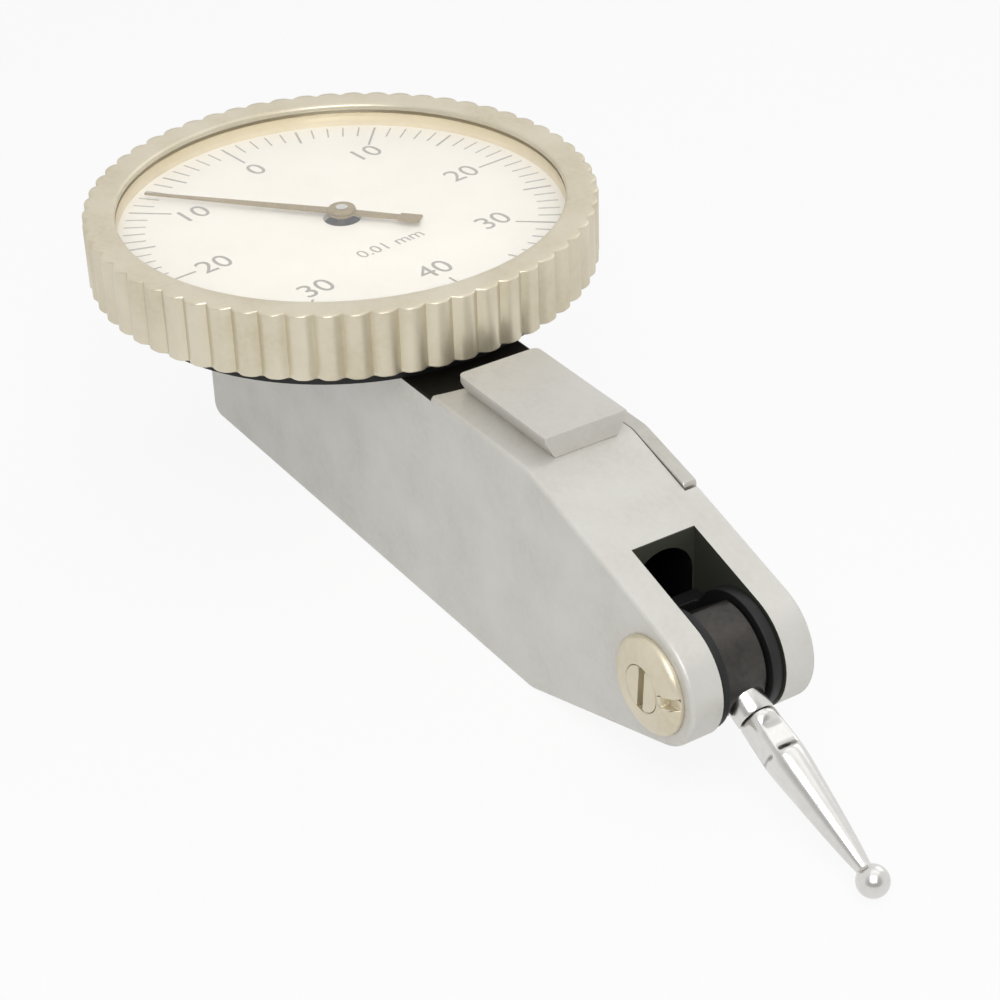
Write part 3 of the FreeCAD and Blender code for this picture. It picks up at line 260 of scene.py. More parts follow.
def softened(node, name, width):
    """A copy of a node with all its sharp edges bevelled."""
    return soften(merged_copy(node, name), width)


# %% [markdown]
# ## Studio
# The floor is pale and plain. To the camera, and in mirror-like metal, it shows mostly as its own
# white, and the rest is lit, so that the instrument keeps a soft shadow. The sky is even but for
# the side of the viewer, where it is dimmer and gives bright metal something dark to reflect. The
# lamps are large and soft: the main one stands high in front of the stylus, and the one above the
# dial and the one behind it are weak.

# %% Floor, world and lamps


def link(tree, source, target):
    """Joins an output socket to an input socket."""
    tree.links.new(source, target)


def seen_by_eye(tree):
    """One for camera, mirror and glass rays, zero for all others."""
    path = tree.nodes.new("ShaderNodeLightPath")
    total = None
    for ray in ("Is Camera Ray", "Is Glossy Ray", "Is Transmission Ray"):
        if total is None:
            total = path.outputs[ray]
            continue
        larger = tree.nodes.new("ShaderNodeMath")
        larger.operation = "MAXIMUM"
        link(tree, total, larger.inputs[0])
        link(tree, path.outputs[ray], larger.inputs[1])
        total = larger.outputs[0]
    return total


bpy.ops.object.select_all(action="DESELECT")
bpy.ops.mesh.primitive_plane_add(size=8, location=(0, 0, cad_box[0][2]))
floor = named("studio_floor")
make_active(floor)
bpy.ops.object.transform_apply(location=True, rotation=True, scale=True)
paper = bpy.data.materials.new("studio_paper")
paper.use_nodes = True
tree = paper.node_tree
OWN_WHITE = 0.9                 # the part of the floor's look that is its own white
matt = tree.nodes["Principled BSDF"]
matt.inputs["Base Color"].default_value = (0.86, 0.86, 0.86, 1)
matt.inputs["Roughness"].default_value = 0.9
matt.inputs["Specular IOR Level"].default_value = 0.1
glow = tree.nodes.new("ShaderNodeEmission")
share = tree.nodes.new("ShaderNodeMath")
share.operation = "MULTIPLY"
share.inputs[1].default_value = OWN_WHITE
mix = tree.nodes.new("ShaderNodeMixShader")
link(tree, seen_by_eye(tree), share.inputs[0])
link(tree, share.outputs[0], mix.inputs[0])
link(tree, matt.outputs[0], mix.inputs[1])
link(tree, glow.outputs[0], mix.inputs[2])
link(tree, mix.outputs[0], tree.nodes["Material Output"].inputs["Surface"])
floor.data.materials.append(paper)

LIGHT_OF_SKY, SEEN_SKY = 0.42, 1.0
world = bpy.data.worlds.new("studio_world")
bpy.context.scene.world = world
world.use_nodes = True
tree = world.node_tree
sky = tree.nodes["Background"]
toward_viewer = tree.nodes.new("ShaderNodeVectorMath")
toward_viewer.operation = "DOT_PRODUCT"
toward_viewer.inputs[1].default_value = back
direction = tree.nodes.new("ShaderNodeTexCoord")
link(tree, direction.outputs["Generated"], toward_viewer.inputs[0])
dim_side = tree.nodes.new("ShaderNodeMapRange")
dim_side.interpolation_type = "SMOOTHSTEP"
for label, value in (("From Min", 0.35), ("From Max", 0.85), ("To Min", 1.0), ("To Max", 0.5)):
    dim_side.inputs[label].default_value = value
link(tree, toward_viewer.outputs["Value"], dim_side.inputs["Value"])
link(tree, dim_side.outputs["Result"], sky.inputs["Color"])
strength = tree.nodes.new("ShaderNodeMapRange")
strength.inputs["To Min"].default_value = LIGHT_OF_SKY
strength.inputs["To Max"].default_value = SEEN_SKY
link(tree, seen_by_eye(tree), strength.inputs["Value"])
link(tree, strength.outputs["Result"], sky.inputs["Strength"])

# Each lamp: its place and what it points at in millimetres, its width in millimetres, its watts.
LAMPS = {
    "dial_lamp": ((60, 40, 260), (10, 0, 15), 240, 0.08),
    "stylus_lamp": ((170, -90, 190), (40, 0, 8), 160, 0.34),
    "back_lamp": ((-40, 250, 160), (0, 0, 15), 160, 0.06),
}
for lamp_name, (place, target, width, power) in LAMPS.items():
    light = bpy.data.lights.new(lamp_name, "AREA")
    light.size, light.energy = width * MM, power
    lamp = bpy.data.objects.new(lamp_name, light)
    bpy.context.scene.collection.objects.link(lamp)
    lamp.location = metres(*place)
    lamp.rotation_euler = (metres(*target) - lamp.location).to_track_quat("-Z", "Y").to_euler()
bpy.context.scene.view_settings.view_transform = "Standard"
print("lamps:", ", ".join(LAMPS))

# %% [markdown]
# ## Finishes
# Three effects are shared by many metals, so each is a node group: a blasted grain, brushed lines
# along one axis, and cloudy handling marks. A finish picks one of the first two for its bump and
# lets the clouds stir colour and roughness a little. The steady values stay on the shader itself.

# %% Shared effects


def new_group(name, inputs, outputs):
    """An empty node group with named float or colour sockets."""
    group = bpy.data.node_groups.new(name, "ShaderNodeTree")
    for label, value in inputs.items():
        kind = "NodeSocketColor" if isinstance(value, tuple) else "NodeSocketFloat"
        socket = group.interface.new_socket(name=label, in_out="INPUT", socket_type=kind)
        socket.default_value = value
    for label, kind in outputs.items():
        group.interface.new_socket(name=label, in_out="OUTPUT", socket_type=kind)
    entry, leave = group.nodes.new("NodeGroupInput"), group.nodes.new("NodeGroupOutput")
    return group, entry, leave


def noise_of(tree, vector, scale, detail):
    """Noise on a vector, with its scale from a socket or a number."""
    noise = tree.nodes.new("ShaderNodeTexNoise")
    noise.inputs["Detail"].default_value = detail
    if isinstance(scale, (int, float)):
        noise.inputs["Scale"].default_value = scale
    else:
        link(tree, scale, noise.inputs["Scale"])
    link(tree, vector, noise.inputs["Vector"])
    return noise.outputs["Fac"]


def spread(tree, value, low_value, high_value, start=0.3, end=0.7):
    """Maps a value to a range; the range's ends may be sockets or numbers."""
    mapped = tree.nodes.new("ShaderNodeMapRange")
    mapped.inputs["From Min"].default_value = start
    mapped.inputs["From Max"].default_value = end
    link(tree, value, mapped.inputs["Value"])
    for label, limit in (("To Min", low_value), ("To Max", high_value)):
        if isinstance(limit, (int, float)):
            mapped.inputs[label].default_value = limit
        else:
            link(tree, limit, mapped.inputs[label])
    return mapped.outputs["Result"]


def stretched_place(tree, stretch):
    """Object coordinates in millimetres, stretched along an axis."""
    place = tree.nodes.new("ShaderNodeTexCoord")
    mapping = tree.nodes.new("ShaderNodeMapping")
    mapping.inputs["Scale"].default_value = [factor / MM for factor in stretch]
    link(tree, place.outputs["Object"], mapping.inputs["Vector"])
    return mapping.outputs["Vector"]


EVEN = (1, 1, 1)
CLOUDS, SPECKS = 0.22, 2.6      # noise features to a millimetre
handling, entry, leave = new_group(
    "handling_marks",
    {"Light": (1.0, 1.0, 1.0, 1.0), "Dark": (0.8, 0.8, 0.8, 1.0), "Smooth": 0.3, "Rough": 0.5},
    {"Colour": "NodeSocketColor", "Roughness": "NodeSocketFloat"})
tree = handling
cloud = noise_of(tree, stretched_place(tree, EVEN), CLOUDS, 4)
speck = noise_of(tree, stretched_place(tree, EVEN), SPECKS, 2)
blend = tree.nodes.new("ShaderNodeMix")
blend.data_type = "RGBA"
both = tree.nodes.new("ShaderNodeMath")
both.operation = "MULTIPLY"
link(tree, spread(tree, cloud, 0.0, 1.0), both.inputs[0])
link(tree, spread(tree, speck, 0.5, 1.0), both.inputs[1])
link(tree, both.outputs[0], blend.inputs["Factor"])
link(tree, entry.outputs["Light"], blend.inputs["A"])
link(tree, entry.outputs["Dark"], blend.inputs["B"])
link(tree, blend.outputs["Result"], leave.inputs["Colour"])
link(tree, spread(tree, cloud, entry.outputs["Smooth"], entry.outputs["Rough"]), leave.inputs["Roughness"])


def grain_group(name, stretch, detail):
    """A height pattern: even for a blasted surface, drawn out along an axis for a brushed one."""
    group, entry, leave = new_group(name, {"Fineness": 1.0}, {"Height": "NodeSocketFloat"})
    link(group, noise_of(group, stretched_place(group, stretch), entry.outputs["Fineness"], detail),
         leave.inputs["Height"])
    return group


DRAWN = 0.04                    # brushed lines are 1 / DRAWN times as long as they are wide
GRAINS = {"blasted": grain_group("blasted_grain", EVEN, 5),
          "brushed_x": grain_group("brushed_along_x", (DRAWN, 1, 1), 3),
          "brushed_y": grain_group("brushed_along_y", (1, DRAWN, 1), 3),
          "brushed_z": grain_group("brushed_along_z", (1, 1, DRAWN), 3)}
print("node groups:", len(bpy.data.node_groups))

# %% [markdown]
# Colours are written as on a screen, from 0 to 255, and turned into light values here. Each finish
# has the colours between which its clouds wander, the least and most roughness, and how metallic
# it is. Then come its grain, the grain's features to a millimetre and its depth in millimetres.

# %% The metals


def screen(red, green, blue):
    """A screen colour as light values."""
    values = [channel / 255 for channel in (red, green, blue)]
    return tuple(value / 12.92 if value < 0.04045 else ((value + 0.055) / 1.055) ** 2.4
                 for value in values) + (1.0,)


def finish(name, light, dark, rough, metallic, grain, fineness, depth):
    """A metal or lacquer with handling marks and a grain."""
    material = bpy.data.materials.new(name)
    material.use_nodes = True
    tree = material.node_tree
    shader = tree.nodes["Principled BSDF"]
    shader.inputs["Metallic"].default_value = metallic
    marks = tree.nodes.new("ShaderNodeGroup")
    marks.node_tree = handling
    marks.inputs["Light"].default_value, marks.inputs["Dark"].default_value = screen(*light), screen(*dark)
    marks.inputs["Smooth"].default_value, marks.inputs["Rough"].default_value = rough
    height = tree.nodes.new("ShaderNodeGroup")
    height.node_tree = GRAINS[grain]
    height.inputs["Fineness"].default_value = fineness
    bump = tree.nodes.new("ShaderNodeBump")
    bump.inputs["Distance"].default_value = depth * MM
    bump.inputs["Strength"].default_value = 1.0
    link(tree, marks.outputs["Colour"], shader.inputs["Base Color"])
    link(tree, marks.outputs["Roughness"], shader.inputs["Roughness"])
    link(tree, height.outputs["Height"], bump.inputs["Height"])
    link(tree, bump.outputs["Normal"], shader.inputs["Normal"])
    return material


FINISH_TABLE = {
    "satin_steel": ((217, 215, 209), (206, 203, 196), (0.42, 0.5), 0.4, "blasted", 6, 0.014),
    "satin_lever": ((196, 193, 186), (176, 173, 165), (0.35, 0.45), 0.9, "brushed_x", 9, 0.004),
    "bright_steel": ((214, 214, 212), (190, 190, 188), (0.18, 0.28), 1.0, "brushed_x", 9, 0.004),
    "black_aluminium": ((34, 34, 33), (24, 24, 24), (0.5, 0.65), 0.3, "blasted", 6, 0.004),
    "nickel_brass": ((221, 213, 192), (207, 197, 172), (0.34, 0.46), 0.7, "blasted", 6, 0.006),
    "spring_steel": ((150, 152, 160), (110, 112, 124), (0.2, 0.35), 1.0, "brushed_z", 9, 0.004),
    "tan_ring": ((220, 206, 172), (206, 190, 153), (0.45, 0.55), 0.25, "blasted", 6, 0.004),
    "plain_aluminium": ((205, 205, 202), (188, 188, 186), (0.35, 0.5), 0.95, "brushed_x", 6, 0.004),
    "bronze_hand": ((146, 128, 90), (122, 105, 68), (0.5, 0.65), 0.2, "brushed_x", 9, 0.004),
    "ruby": ((168, 24, 54), (132, 12, 40), (0.08, 0.15), 0.0, "blasted", 6, 0.001),
    "brass": ((222, 190, 118), (198, 164, 92), (0.25, 0.4), 1.0, "brushed_x", 9, 0.004),
    "gear_brass": ((226, 196, 128), (204, 172, 100), (0.3, 0.4), 1.0, "brushed_z", 9, 0.004),
    "black_steel": ((78, 74, 70), (46, 46, 47), (0.28, 0.42), 0.75, "brushed_z", 7, 0.012),
    "fork_black": ((30, 30, 30), (20, 20, 20), (0.5, 0.62), 0.3, "brushed_z", 7, 0.01),
    "chrome": ((224, 222, 218), (208, 206, 203), (0.15, 0.25), 1.0, "brushed_y", 9, 0.001),
    "dial_white": ((231, 227, 217), (226, 221, 209), (0.4, 0.5), 0.0, "blasted", 6, 0.002),
    "dial_ink": ((152, 149, 141), (136, 133, 126), (0.5, 0.6), 0.0, "blasted", 6, 0.004),
}
FINISHES = {name: finish(name, *values) for name, values in FINISH_TABLE.items()}
RUBY_COAT = 0.6
FINISHES["ruby"].node_tree.nodes["Principled BSDF"].inputs["Coat Weight"].default_value = RUBY_COAT
print("finishes:", ", ".join(FINISHES))

# %% [markdown]
# The shade in the recess under the dial, in the clevis slot and in the way for the lever is painted
# into the colour as dark steel, while the rest of the body is blasted steel. It is one solid, so its
# colour changes by place, between two limits along x and two along z. Across, the painted shade of
# the recess ends at a circle about the dial's axis, and that of the slot and the way reaches a little past
# their own walls.

# %% Painted shade in the body's recesses


def compare(tree, value, operation, limit):
    """One where a value is over or under a limit in millimetres."""
    test = tree.nodes.new("ShaderNodeMath")
    test.operation = operation
    test.inputs[1].default_value = limit * MM
    link(tree, value, test.inputs[0])
    return test.outputs[0]


def product(tree, values):
    """All the values multiplied together."""
    total = values[0]
    for value in values[1:]:
        times = tree.nodes.new("ShaderNodeMath")
        times.operation = "MULTIPLY"
        link(tree, total, times.inputs[0])
        link(tree, value, times.inputs[1])
        total = times.outputs[0]
    return total


def blacken(colour, x_range, z_range, reach, round_reach):
    """Paints shade into the steel's colour within limits; reach is from the dial's axis if round, or else
    from y = 0.
    """
    tree = FINISHES["satin_steel"].node_tree
    shader = tree.nodes["Principled BSDF"]
    place = tree.nodes.new("ShaderNodeTexCoord").outputs["Object"]
    keep = tree.nodes.new("ShaderNodeVectorMath")
    keep.operation = "MULTIPLY"
    keep.inputs[1].default_value = (1, 1, 0) if round_reach else (0, 1, 0)
    link(tree, place, keep.inputs[0])
    length = tree.nodes.new("ShaderNodeVectorMath")
    length.operation = "LENGTH"
    link(tree, keep.outputs[0], length.inputs[0])
    split = tree.nodes.new("ShaderNodeSeparateXYZ")
    link(tree, place, split.inputs[0])
    mask = product(tree, [compare(tree, length.outputs["Value"], "LESS_THAN", reach)] + [
        compare(tree, split.outputs[axis], operation, limit)
        for axis, limits in (("X", x_range), ("Z", z_range))
        for operation, limit in zip(("GREATER_THAN", "LESS_THAN"), limits)])
    blend = tree.nodes.new("ShaderNodeMix")
    blend.data_type = "RGBA"
    blend.inputs["B"].default_value = screen(*colour)
    link(tree, mask, blend.inputs["Factor"])
    link(tree, shader.inputs["Base Color"].links[0].from_socket, blend.inputs["A"])
    link(tree, blend.outputs["Result"], shader.inputs["Base Color"])


recess_z = low("case_plate")[2]
recess_reach = 18.95            # from the dial's axis to just past the recess's round wall
slot_reach = high("measuring_lever")[1] + 0.1
SLOT_END = 37.05                # just behind the slot's end, where the way for the lever starts
# Painted shadow of the bezel, on the body's top in front of the dial.
blacken((34, 31, 26), (8, 20), (recess_z - 0.05, recess_z + 0.25), recess_reach, True)
# Painted shade on the walls of the clevis slot.
blacken((78, 80, 70), (SLOT_END, 47), (0, 17), slot_reach, False)
# Painted shade, nearly black, inside the way for the lever behind the slot.
blacken((16, 16, 15), (20.5, SLOT_END + 0.02), (3.2, 13.2), slot_reach, False)

# %% [markdown]
# ## Crystal
# The crystal is clear plastic. Light from a lamp hardly gets through modelled glass, and the dial
# would be dark and noisy, so to shadow rays the crystal is simply open.

# %% Clear crystal
clear = bpy.data.materials.new("crystal_clear")
clear.use_nodes = True
tree = clear.node_tree
glass = tree.nodes["Principled BSDF"]
glass.inputs["Base Color"].default_value = (1, 1, 1, 1)
glass.inputs["Transmission Weight"].default_value = 1.0
glass.inputs["IOR"].default_value = 1.46
veil = tree.nodes.new("ShaderNodeGroup")
veil.node_tree = handling
veil.inputs["Smooth"].default_value, veil.inputs["Rough"].default_value = 0.015, 0.05
link(tree, veil.outputs["Roughness"], glass.inputs["Roughness"])
open_air = tree.nodes.new("ShaderNodeBsdfTransparent")
path = tree.nodes.new("ShaderNodeLightPath")
choice = tree.nodes.new("ShaderNodeMixShader")
link(tree, path.outputs["Is Shadow Ray"], choice.inputs[0])
link(tree, glass.outputs[0], choice.inputs[1])
link(tree, open_air.outputs[0], choice.inputs[2])
link(tree, choice.outputs[0], tree.nodes["Material Output"].inputs["Surface"])
FINISHES["crystal"] = clear

# %% [markdown]
# ## Dressing a piece
# A new piece says which material slot it fills, which moving body it rides on and which packed
# nodes it takes the place of.

# %% Helper for finished pieces


def dress(piece, slot, body, *stands_for, look=None):
    """Gives a new piece the finish of its look, or else of its slot, puts it on its body and hides the nodes
    it stands for.
    """
    piece.data.materials.clear()
    piece.data.materials.append(FINISHES[look or slot])
    for face in piece.data.polygons:
        face.material_index = 0
    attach(piece, body)
    if stands_for:
        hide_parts(*stands_for)
    return piece


# %% [markdown]
# ## Body
# The body is a narrow bar with a clevis at its nose. Only its outer outline is rounded over, on
# both sides; the edges of the slot, the dovetails and the cover's rebate stay sharp.

# %% Body with rounded outline
body_shell = merged_copy("body", "body_shell")
side_y = high("side_cover")[1]
pivot_x, pivot_z = 42.2, 8.2
BODY_MIDDLE, PIVOT_CLEAR = 15, 3.5


def on_side(edge, side):
    """True for an edge that lies in one of the body's two flat sides."""
    return all(abs(vertex.co.y / MM - side * side_y) < 0.002 for vertex in edge.verts)


def faces_out(edge):
    """True where the face beside the flat side looks away from the body's middle, off the pivot's bore."""
    middle = (edge.verts[0].co + edge.verts[1].co) / 2 / MM
    beside = min(edge.link_faces, key=lambda face: abs(face.normal.y)).normal
    from_pivot = math.hypot(middle.x - pivot_x, middle.z - pivot_z)
    outward = beside.x * (middle.x - BODY_MIDDLE) + beside.z * (middle.z - pivot_z)
    return outward > 0 and from_pivot > PIVOT_CLEAR


shape = edit(body_shell, "EDGE")
outline = [tuple((vertex.co.x, vertex.co.z) for vertex in edge.verts) for edge in shape.edges
           if sharp(edge) and on_side(edge, -1) and faces_out(edge)]
print("outline has", len(outline), "edges")


def from_outline(x, z):
    """Distance in metres from a point to the outline of the body's side."""
    best = 1.0
    for (x1, z1), (x2, z2) in outline:
        run, rise = x2 - x1, z2 - z1
        share = ((x - x1) * run + (z - z1) * rise) / max(1e-18, run ** 2 + rise ** 2)
        share = max(0.0, min(1.0, share))
        best = min(best, math.hypot(x - x1 - share * run, z - z1 - share * rise))
    return best


def is_outline(edge):
    """True for the outer edges of both flat sides."""
    if on_side(edge, -1):
        return faces_out(edge)
    return on_side(edge, 1) and all(
        from_outline(vertex.co.x, vertex.co.z) < ON_OUTLINE * MM for vertex in edge.verts)


ON_OUTLINE = 0.03               # millimetres within which a point counts as on the outline
soften(body_shell, 0.28, wanted=is_outline, segments=4, smooth_below=32)
dress(body_shell, "satin_steel", "case", "body")

# %% [markdown]
# ## Bezel
# The bezel is a ring with sixty grooves. A circle with ten points for each groove is extruded
# along the ring's section. Then the sets of points at and beside each groove's middle are drawn
# in, each by its own depth, which gives wide round ribs and narrow grooves.

# %% Fluted bezel
FLUTES, POINTS = 60, 10
GROOVE_DEPTHS = (0.4, 0.27, 0.13, 0.04)     # at the groove's middle, then one, two and three points off
GROOVE_BAND = 0.4               # the points this near the rim are drawn in
bezel_low, bezel_high = low("bezel")[2], high("bezel")[2]
bezel_radius = high("bezel")[0]
lip = 15.3                      # radius of the opening over the crystal
seat, bore = high("dial")[0] + 0.02, high("case_plate")[0] + 0.05
lip_low, step_z = high("crystal")[2], low("dial_carrier")[2]
RING = [(bore, bezel_low), (bezel_radius - 0.5, bezel_low), (bezel_radius - 0.12, bezel_low + 0.04),
        (bezel_radius, bezel_low + 0.16), (bezel_radius, bezel_high - 0.14),
        (bezel_radius - 0.03, bezel_high - 0.06), (bezel_radius - 0.1, bezel_high - 0.01),
        (bezel_radius - 0.6, bezel_high), (lip + 0.3, bezel_high), (lip + 0.1, bezel_high - 0.06),
        (lip, bezel_high - 0.2), (lip, lip_low), (seat, lip_low), (seat, step_z), (bore, step_z)]
bpy.ops.object.select_all(action="DESELECT")
bpy.ops.mesh.primitive_circle_add(vertices=FLUTES * POINTS, radius=RING[0][0] * MM,
                                  location=(0, 0, RING[0][1] * MM))
fluted_bezel = named("fluted_bezel")
make_active(fluted_bezel)
bpy.ops.object.transform_apply(location=True, rotation=True, scale=True)
edit(fluted_bezel)
bpy.ops.mesh.select_all(action="SELECT")
for (radius, height), (next_radius, next_height) in zip(RING, RING[1:] + RING[:1]):
    bpy.ops.mesh.extrude_edges_move(
        TRANSFORM_OT_translate={"value": (0, 0, (next_height - height) * MM)})
    factor = next_radius / radius
    bpy.ops.transform.resize(value=(factor, factor, 1), center_override=(0, 0, 0))
bpy.ops.mesh.select_all(action="SELECT")
bpy.ops.mesh.remove_doubles(threshold=1e-7)
bpy.ops.mesh.normals_make_consistent(inside=False)
for off, depth in enumerate(GROOVE_DEPTHS):
    bpy.ops.mesh.select_all(action="DESELECT")
    shape = bmesh.from_edit_mesh(fluted_bezel.data)
    chosen = []
    for vertex in shape.verts:
        step = round(math.atan2(vertex.co.y, vertex.co.x) / (2 * math.pi) * FLUTES * POINTS) % POINTS
        if min(step, POINTS - step) == off and vertex.co.xy.length > (bezel_radius - GROOVE_BAND) * MM:
            chosen.append(vertex)
    choose(fluted_bezel, shape, chosen)
    factor = (bezel_radius - depth) / bezel_radius
    bpy.ops.transform.resize(value=(factor, factor, 1), center_override=(0, 0, 0))
done(fluted_bezel, 38)
dress(fluted_bezel, "nickel_brass", "dial_head", "bezel")
print("bezel:", len(fluted_bezel.data.polygons), "faces")

# %% [markdown]
# ## Dial
# The print is a thin layer of ink on the dial: eighty divisions, with a longer stroke at each
# numeral and half way between, and numerals from 0 to 40 and back. Each stroke is a thin bar laid
# along x and then turned to its place. Numerals are text objects made into meshes, and all stand
# upright for a reader at the stylus.

# %% Strokes of the scale
DIVISIONS = 80
SCALE_TURN = 5.7                # degrees from +X to the stroke of the largest numeral
STROKE_END = 14.9
STROKE_START, HALF_START, SHORT_START = 11.9, 12.9, 13.4    # at a numeral, half way, elsewhere
WIDE_STROKE, THIN_STROKE = 0.16, 0.11
INK = 0.012                     # thickness of the print
dial_top = high("dial")[2]
strokes = []
for division in range(DIVISIONS):
    start, width = SHORT_START, THIN_STROKE
    if division % 5 == 0:
        start, width = HALF_START, WIDE_STROKE
    if division % 10 == 0:
        start = STROKE_START
    bpy.ops.object.select_all(action="DESELECT")
    bpy.ops.mesh.primitive_cube_add(size=1, location=metres((start + STROKE_END) / 2, 0, dial_top + INK / 2))
    stroke = bpy.context.object
    stroke.scale = ((STROKE_END - start) * MM, width * MM, INK * MM)
    bpy.ops.object.transform_apply(location=True, rotation=True, scale=True)
    stroke.data.transform(Matrix.Rotation(math.radians(SCALE_TURN + division * 360 / DIVISIONS), 4, "Z"))
    strokes.append(stroke)
make_active(*strokes)
bpy.ops.object.join()
dial_strokes = named("dial_strokes")


def print_on_dial(text, size, place):
    """A line of text centred at a place on the dial, upright for a reader at the stylus."""
    bpy.ops.object.select_all(action="DESELECT")
    bpy.ops.object.text_add(location=(0, 0, 0))
    line = bpy.context.object
    line.data.body, line.data.size = text, size * MM
    line.data.align_x, line.data.align_y = "CENTER", "CENTER"
    line.data.extrude = INK / 2 * MM
    line.data.resolution_u = 4
    bpy.ops.object.convert(target="MESH")
    x, y = place
    line.data.transform(Matrix.Translation(metres(x, y, dial_top + INK / 2)) @ Matrix.Rotation(
        math.radians(90 + SCALE_TURN), 4, "Z"))
    return line


NUMERALS = 8
NUMERAL_CIRCLE, NUMERAL_SIZE, SMALL_SIZE = 10.4, 2.5, 1.5
lines = []
for place in range(NUMERALS):
    value = 40 - 10 * min(place, NUMERALS - place)
    angle = math.radians(SCALE_TURN + place * 360 / NUMERALS)
    lines.append(print_on_dial(str(value), NUMERAL_SIZE,
                               (NUMERAL_CIRCLE * math.cos(angle), NUMERAL_CIRCLE * math.sin(angle))))
lines.append(print_on_dial("0.01 mm", SMALL_SIZE, (5.4, 0.6)))
make_active(*lines)
bpy.ops.object.join()
dial_numerals = named("dial_numerals")
for printed in (dial_strokes, dial_numerals):
    printed.data.materials.clear()
    printed.data.materials.append(FINISHES["dial_ink"])
    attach(printed, "dial_head")
print("numerals:", len(dial_numerals.data.polygons), "faces")

# %% [markdown]
# ## Stylus
# The stylus is turned and polished. Its collar sits in the swivel; the shank has four flats for a
# spanner, swells a little past them and then tapers to a neck that carries the ball. Heights in
# the outlines are measured from the pivot, along the stylus.

# %% Stylus turned about its own axis
stylus_angle = math.radians(-24.1)
along = (math.cos(stylus_angle), 0, math.sin(stylus_angle))
pivot = (pivot_x, 0, pivot_z)
COLLAR = [(0, 2.0), (1.14, 2.0), (1.22, 2.08), (1.22, 4.42), (1.14, 4.54), (0.9, 4.56), (0, 4.56)]
collar = turn("stylus_collar", COLLAR, pivot, along)
dress(collar, "chrome", "stylus", "stylus_socket")
SHANK = [(0, 3.1), (0.68, 3.1), (0.7, 4.6), (1.06, 4.6), (1.18, 4.66), (1.21, 4.78),
         (1.22, 5.39), (1.23, 5.43), (1.25, 6.0), (1.29, 6.8), (1.3, 7.27), (1.3, 7.31),
         (1.3, 7.7), (1.27, 8.2), (1.2, 9.0), (1.1, 10.0), (0.99, 11.2), (0.87, 12.4),
         (0.74, 13.6), (0.6, 14.7), (0.5, 15.3), (0.48, 15.55), (0.48, 15.9), (0, 15.9)]
shank = turn("stylus_taper", SHANK, pivot, along)
FLAT, FLAT_FROM, FLAT_TO = 1.04, 5.4, 7.3   # from the axis, and from and to along the stylus
sideways = Vector((0, 1, 0))
shape = edit(shank)
flattened = 0
for vertex in shape.verts:
    offset = (vertex.co - metres(*pivot)) / MM
    if FLAT_FROM < offset.dot(Vector(along)) < FLAT_TO:
        for direction in (sideways, Vector(along).cross(sideways)):
            reach = offset.dot(direction)
            if abs(reach) > FLAT:
                vertex.co -= direction * (reach - math.copysign(FLAT, reach)) * MM
                flattened += 1
print("the four spanner flats move", flattened, "points")
done(shank, 30)
dress(shank, "chrome", "stylus", "stylus_shank")
BALL_PLACE, BALL, BALL_STEPS = 16.34, 1.0, 24
BALL_START = math.radians(152)  # the ball's outline runs from the neck round to the tip
ball_outline = [(0, BALL_PLACE - 0.9), (0.47, BALL_PLACE - 0.9)]
for step in range(BALL_STEPS + 1):
    angle = BALL_START * (1 - step / BALL_STEPS)
    ball_outline.append((BALL * math.sin(angle), BALL_PLACE + BALL * math.cos(angle)))
ball = turn("stylus_tip", ball_outline, pivot, along)
dress(ball, "chrome", "stylus", "stylus_ball")

# %% [markdown]
# ## Nut and screw of the pivot
# A round nut with a well rounded shoulder locks the pivot screw. Both are turned, and the two
# spanner notches and the screwdriver slot are cut out with Boolean blocks, as a mill would.
# Heights in the outlines are measured outwards from the ear's face.

# %% Ring nut and slotted screw


def cut_block(piece, size, place, turn_angle):
    """Cuts a block, turned about Y, out of a piece."""
    bpy.ops.object.select_all(action="DESELECT")
    bpy.ops.mesh.primitive_cube_add(size=1, location=metres(*place))
    cutter = named("cutter")
    cutter.scale = [length * MM for length in size]
    cutter.rotation_euler = (0, math.radians(turn_angle), 0)
    bpy.ops.object.transform_apply(location=True, rotation=True, scale=True)
    apply_modifier(piece, "BOOLEAN", operation="DIFFERENCE", solver="EXACT", object=cutter)
    bpy.data.objects.remove(cutter)


ear_y = low("body")[1]
nut_height = ear_y - low("pivot_ring_nut")[1]
nut_radius = (high("pivot_ring_nut")[0] - low("pivot_ring_nut")[0]) / 2
screw_radius = (high("left_pivot_screw")[0] - low("left_pivot_screw")[0]) / 2
nut_bore = screw_radius + 0.02
NUT = [(nut_bore, 0), (nut_radius - 0.04, 0), (nut_radius, 0.04), (nut_radius, 0.2),
       (nut_radius - 0.05, 0.34), (nut_radius - 0.2, 0.5), (nut_radius - 0.42, 0.64),
       (nut_radius - 0.65, 0.75), (nut_radius - 0.85, 0.82), (nut_radius - 1.0, nut_height),
       (nut_bore + 0.06, nut_height), (nut_bore, nut_height - 0.06), (nut_bore, 0)]
spanner_nut = turn("spanner_nut", NUT, (pivot_x, ear_y, pivot_z), (0, -1, 0))
NOTCH_ANGLE, NOTCH_WIDTH = 8.0, 0.72
for reach, length in ((nut_radius - 0.5, 1.4), (-nut_radius, 0.5)):
    cut_block(spanner_nut, (length, 1.0, NOTCH_WIDTH),
              (pivot_x + reach * math.cos(math.radians(NOTCH_ANGLE)), ear_y - 0.75,
               pivot_z + reach * math.sin(math.radians(NOTCH_ANGLE))), -NOTCH_ANGLE)
soften(spanner_nut, 0.04, least=50, segments=2, smooth_below=35)
dress(spanner_nut, "nickel_brass", "case", "pivot_ring_nut")
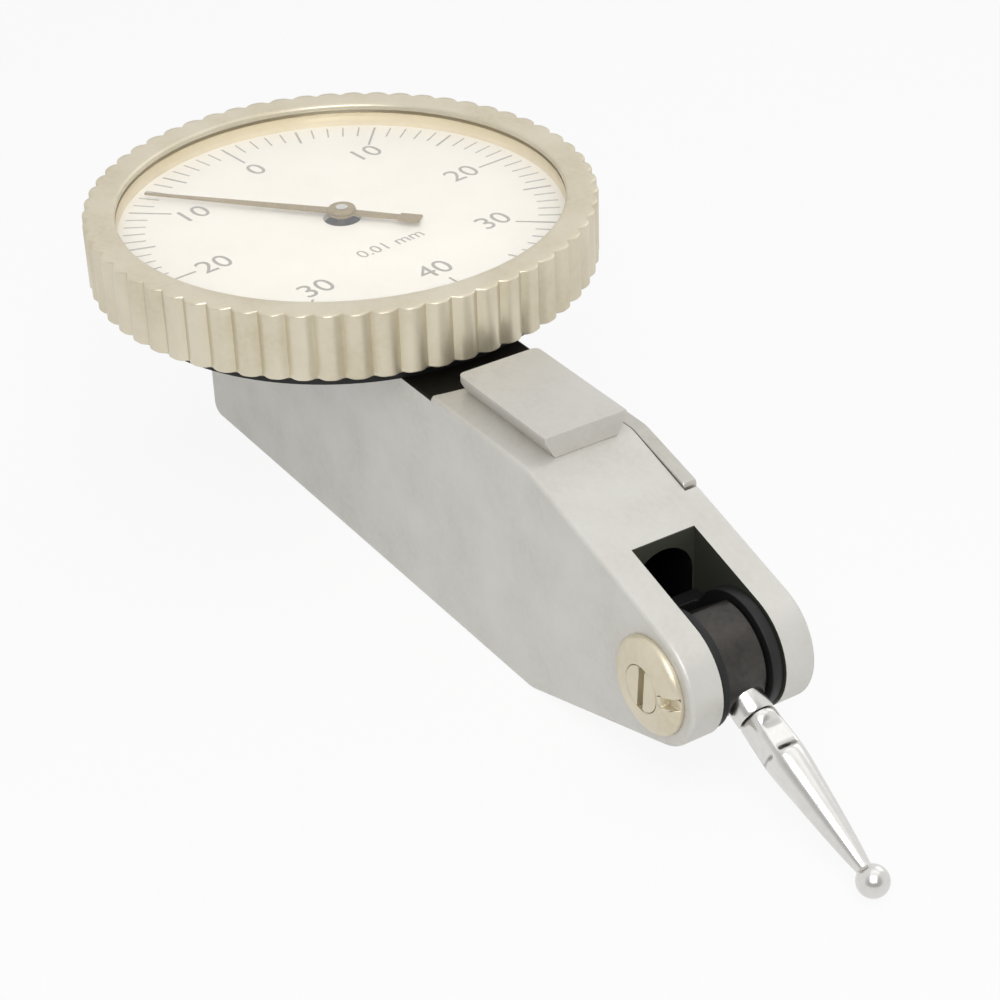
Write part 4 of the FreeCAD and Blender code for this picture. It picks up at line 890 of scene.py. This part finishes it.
SCREW = [(0, -2.6), (0.8, -2.6), (screw_radius, -2.2), (screw_radius, nut_height - 0.1),
         (screw_radius - 0.03, nut_height - 0.03), (screw_radius - 0.12, nut_height), (0, nut_height)]
left_screw = turn("left_slotted_screw", SCREW, (pivot_x, ear_y, pivot_z), (0, -1, 0))
SLOT_WIDTH, SLOT_ANGLE = 0.55, 4
cut_block(left_screw, (SLOT_WIDTH, 1.0, 3.4), (pivot_x, ear_y - nut_height + 0.1, pivot_z), SLOT_ANGLE)
soften(left_screw, 0.03, least=50, segments=2, smooth_below=35)
dress(left_screw, "nickel_brass", "case", "left_pivot_screw")

# %% [markdown]
# ## Black steel and the other screws
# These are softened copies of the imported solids. Each row gives the node, the new piece, the width
# of its bevels in millimetres, the slot, the body and the look, which is the slot's own finish
# except on the fork: that is a duller black than the brushed drum beside it.

# %% Softened copies
COPIES = [
    ("swivel_hub", "swivel_drum", 0.08, "black_steel", "stylus", "black_steel"),
    ("measuring_lever", "lever_fork", 0.08, "black_steel", "lever", "fork_black"),
    ("right_pivot_screw", "right_slotted_screw", 0.06, "nickel_brass", "case", "nickel_brass"),
    ("side_cover", "cover_plate", 0.08, "satin_steel", "case", "satin_steel"),
    ("side_cover_screws", "cover_screw_heads", 0.05, "bright_steel", "case", "bright_steel"),
    ("reversing_lever", "reversing_blade", 0.1, "satin_lever", "reverser", "satin_lever"),
    ("reversing_shaft", "reversing_pin", 0.05, "bright_steel", "reverser", "bright_steel"),
    ("crystal", "clear_crystal", 0.12, "crystal", "dial_head", "crystal"),
    ("pointer_hub", "pointer_boss", 0.08, "bronze_hand", "pointer_arbor", "bronze_hand"),
]
for node, piece_name, width, slot, body, look in COPIES:
    dress(softened(node, piece_name, width), slot, body, node, look=look)

# %% [markdown]
# ## Everything else
# The other nodes keep their shape and get their finish.

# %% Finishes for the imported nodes
for node, piece in nodes.items():
    for material_slot in piece.material_slots:
        if material_slot.material and material_slot.material.name in FINISHES:
            material_slot.material = FINISHES[material_slot.material.name]
        else:
            print("no finish for", node, material_slot.material)
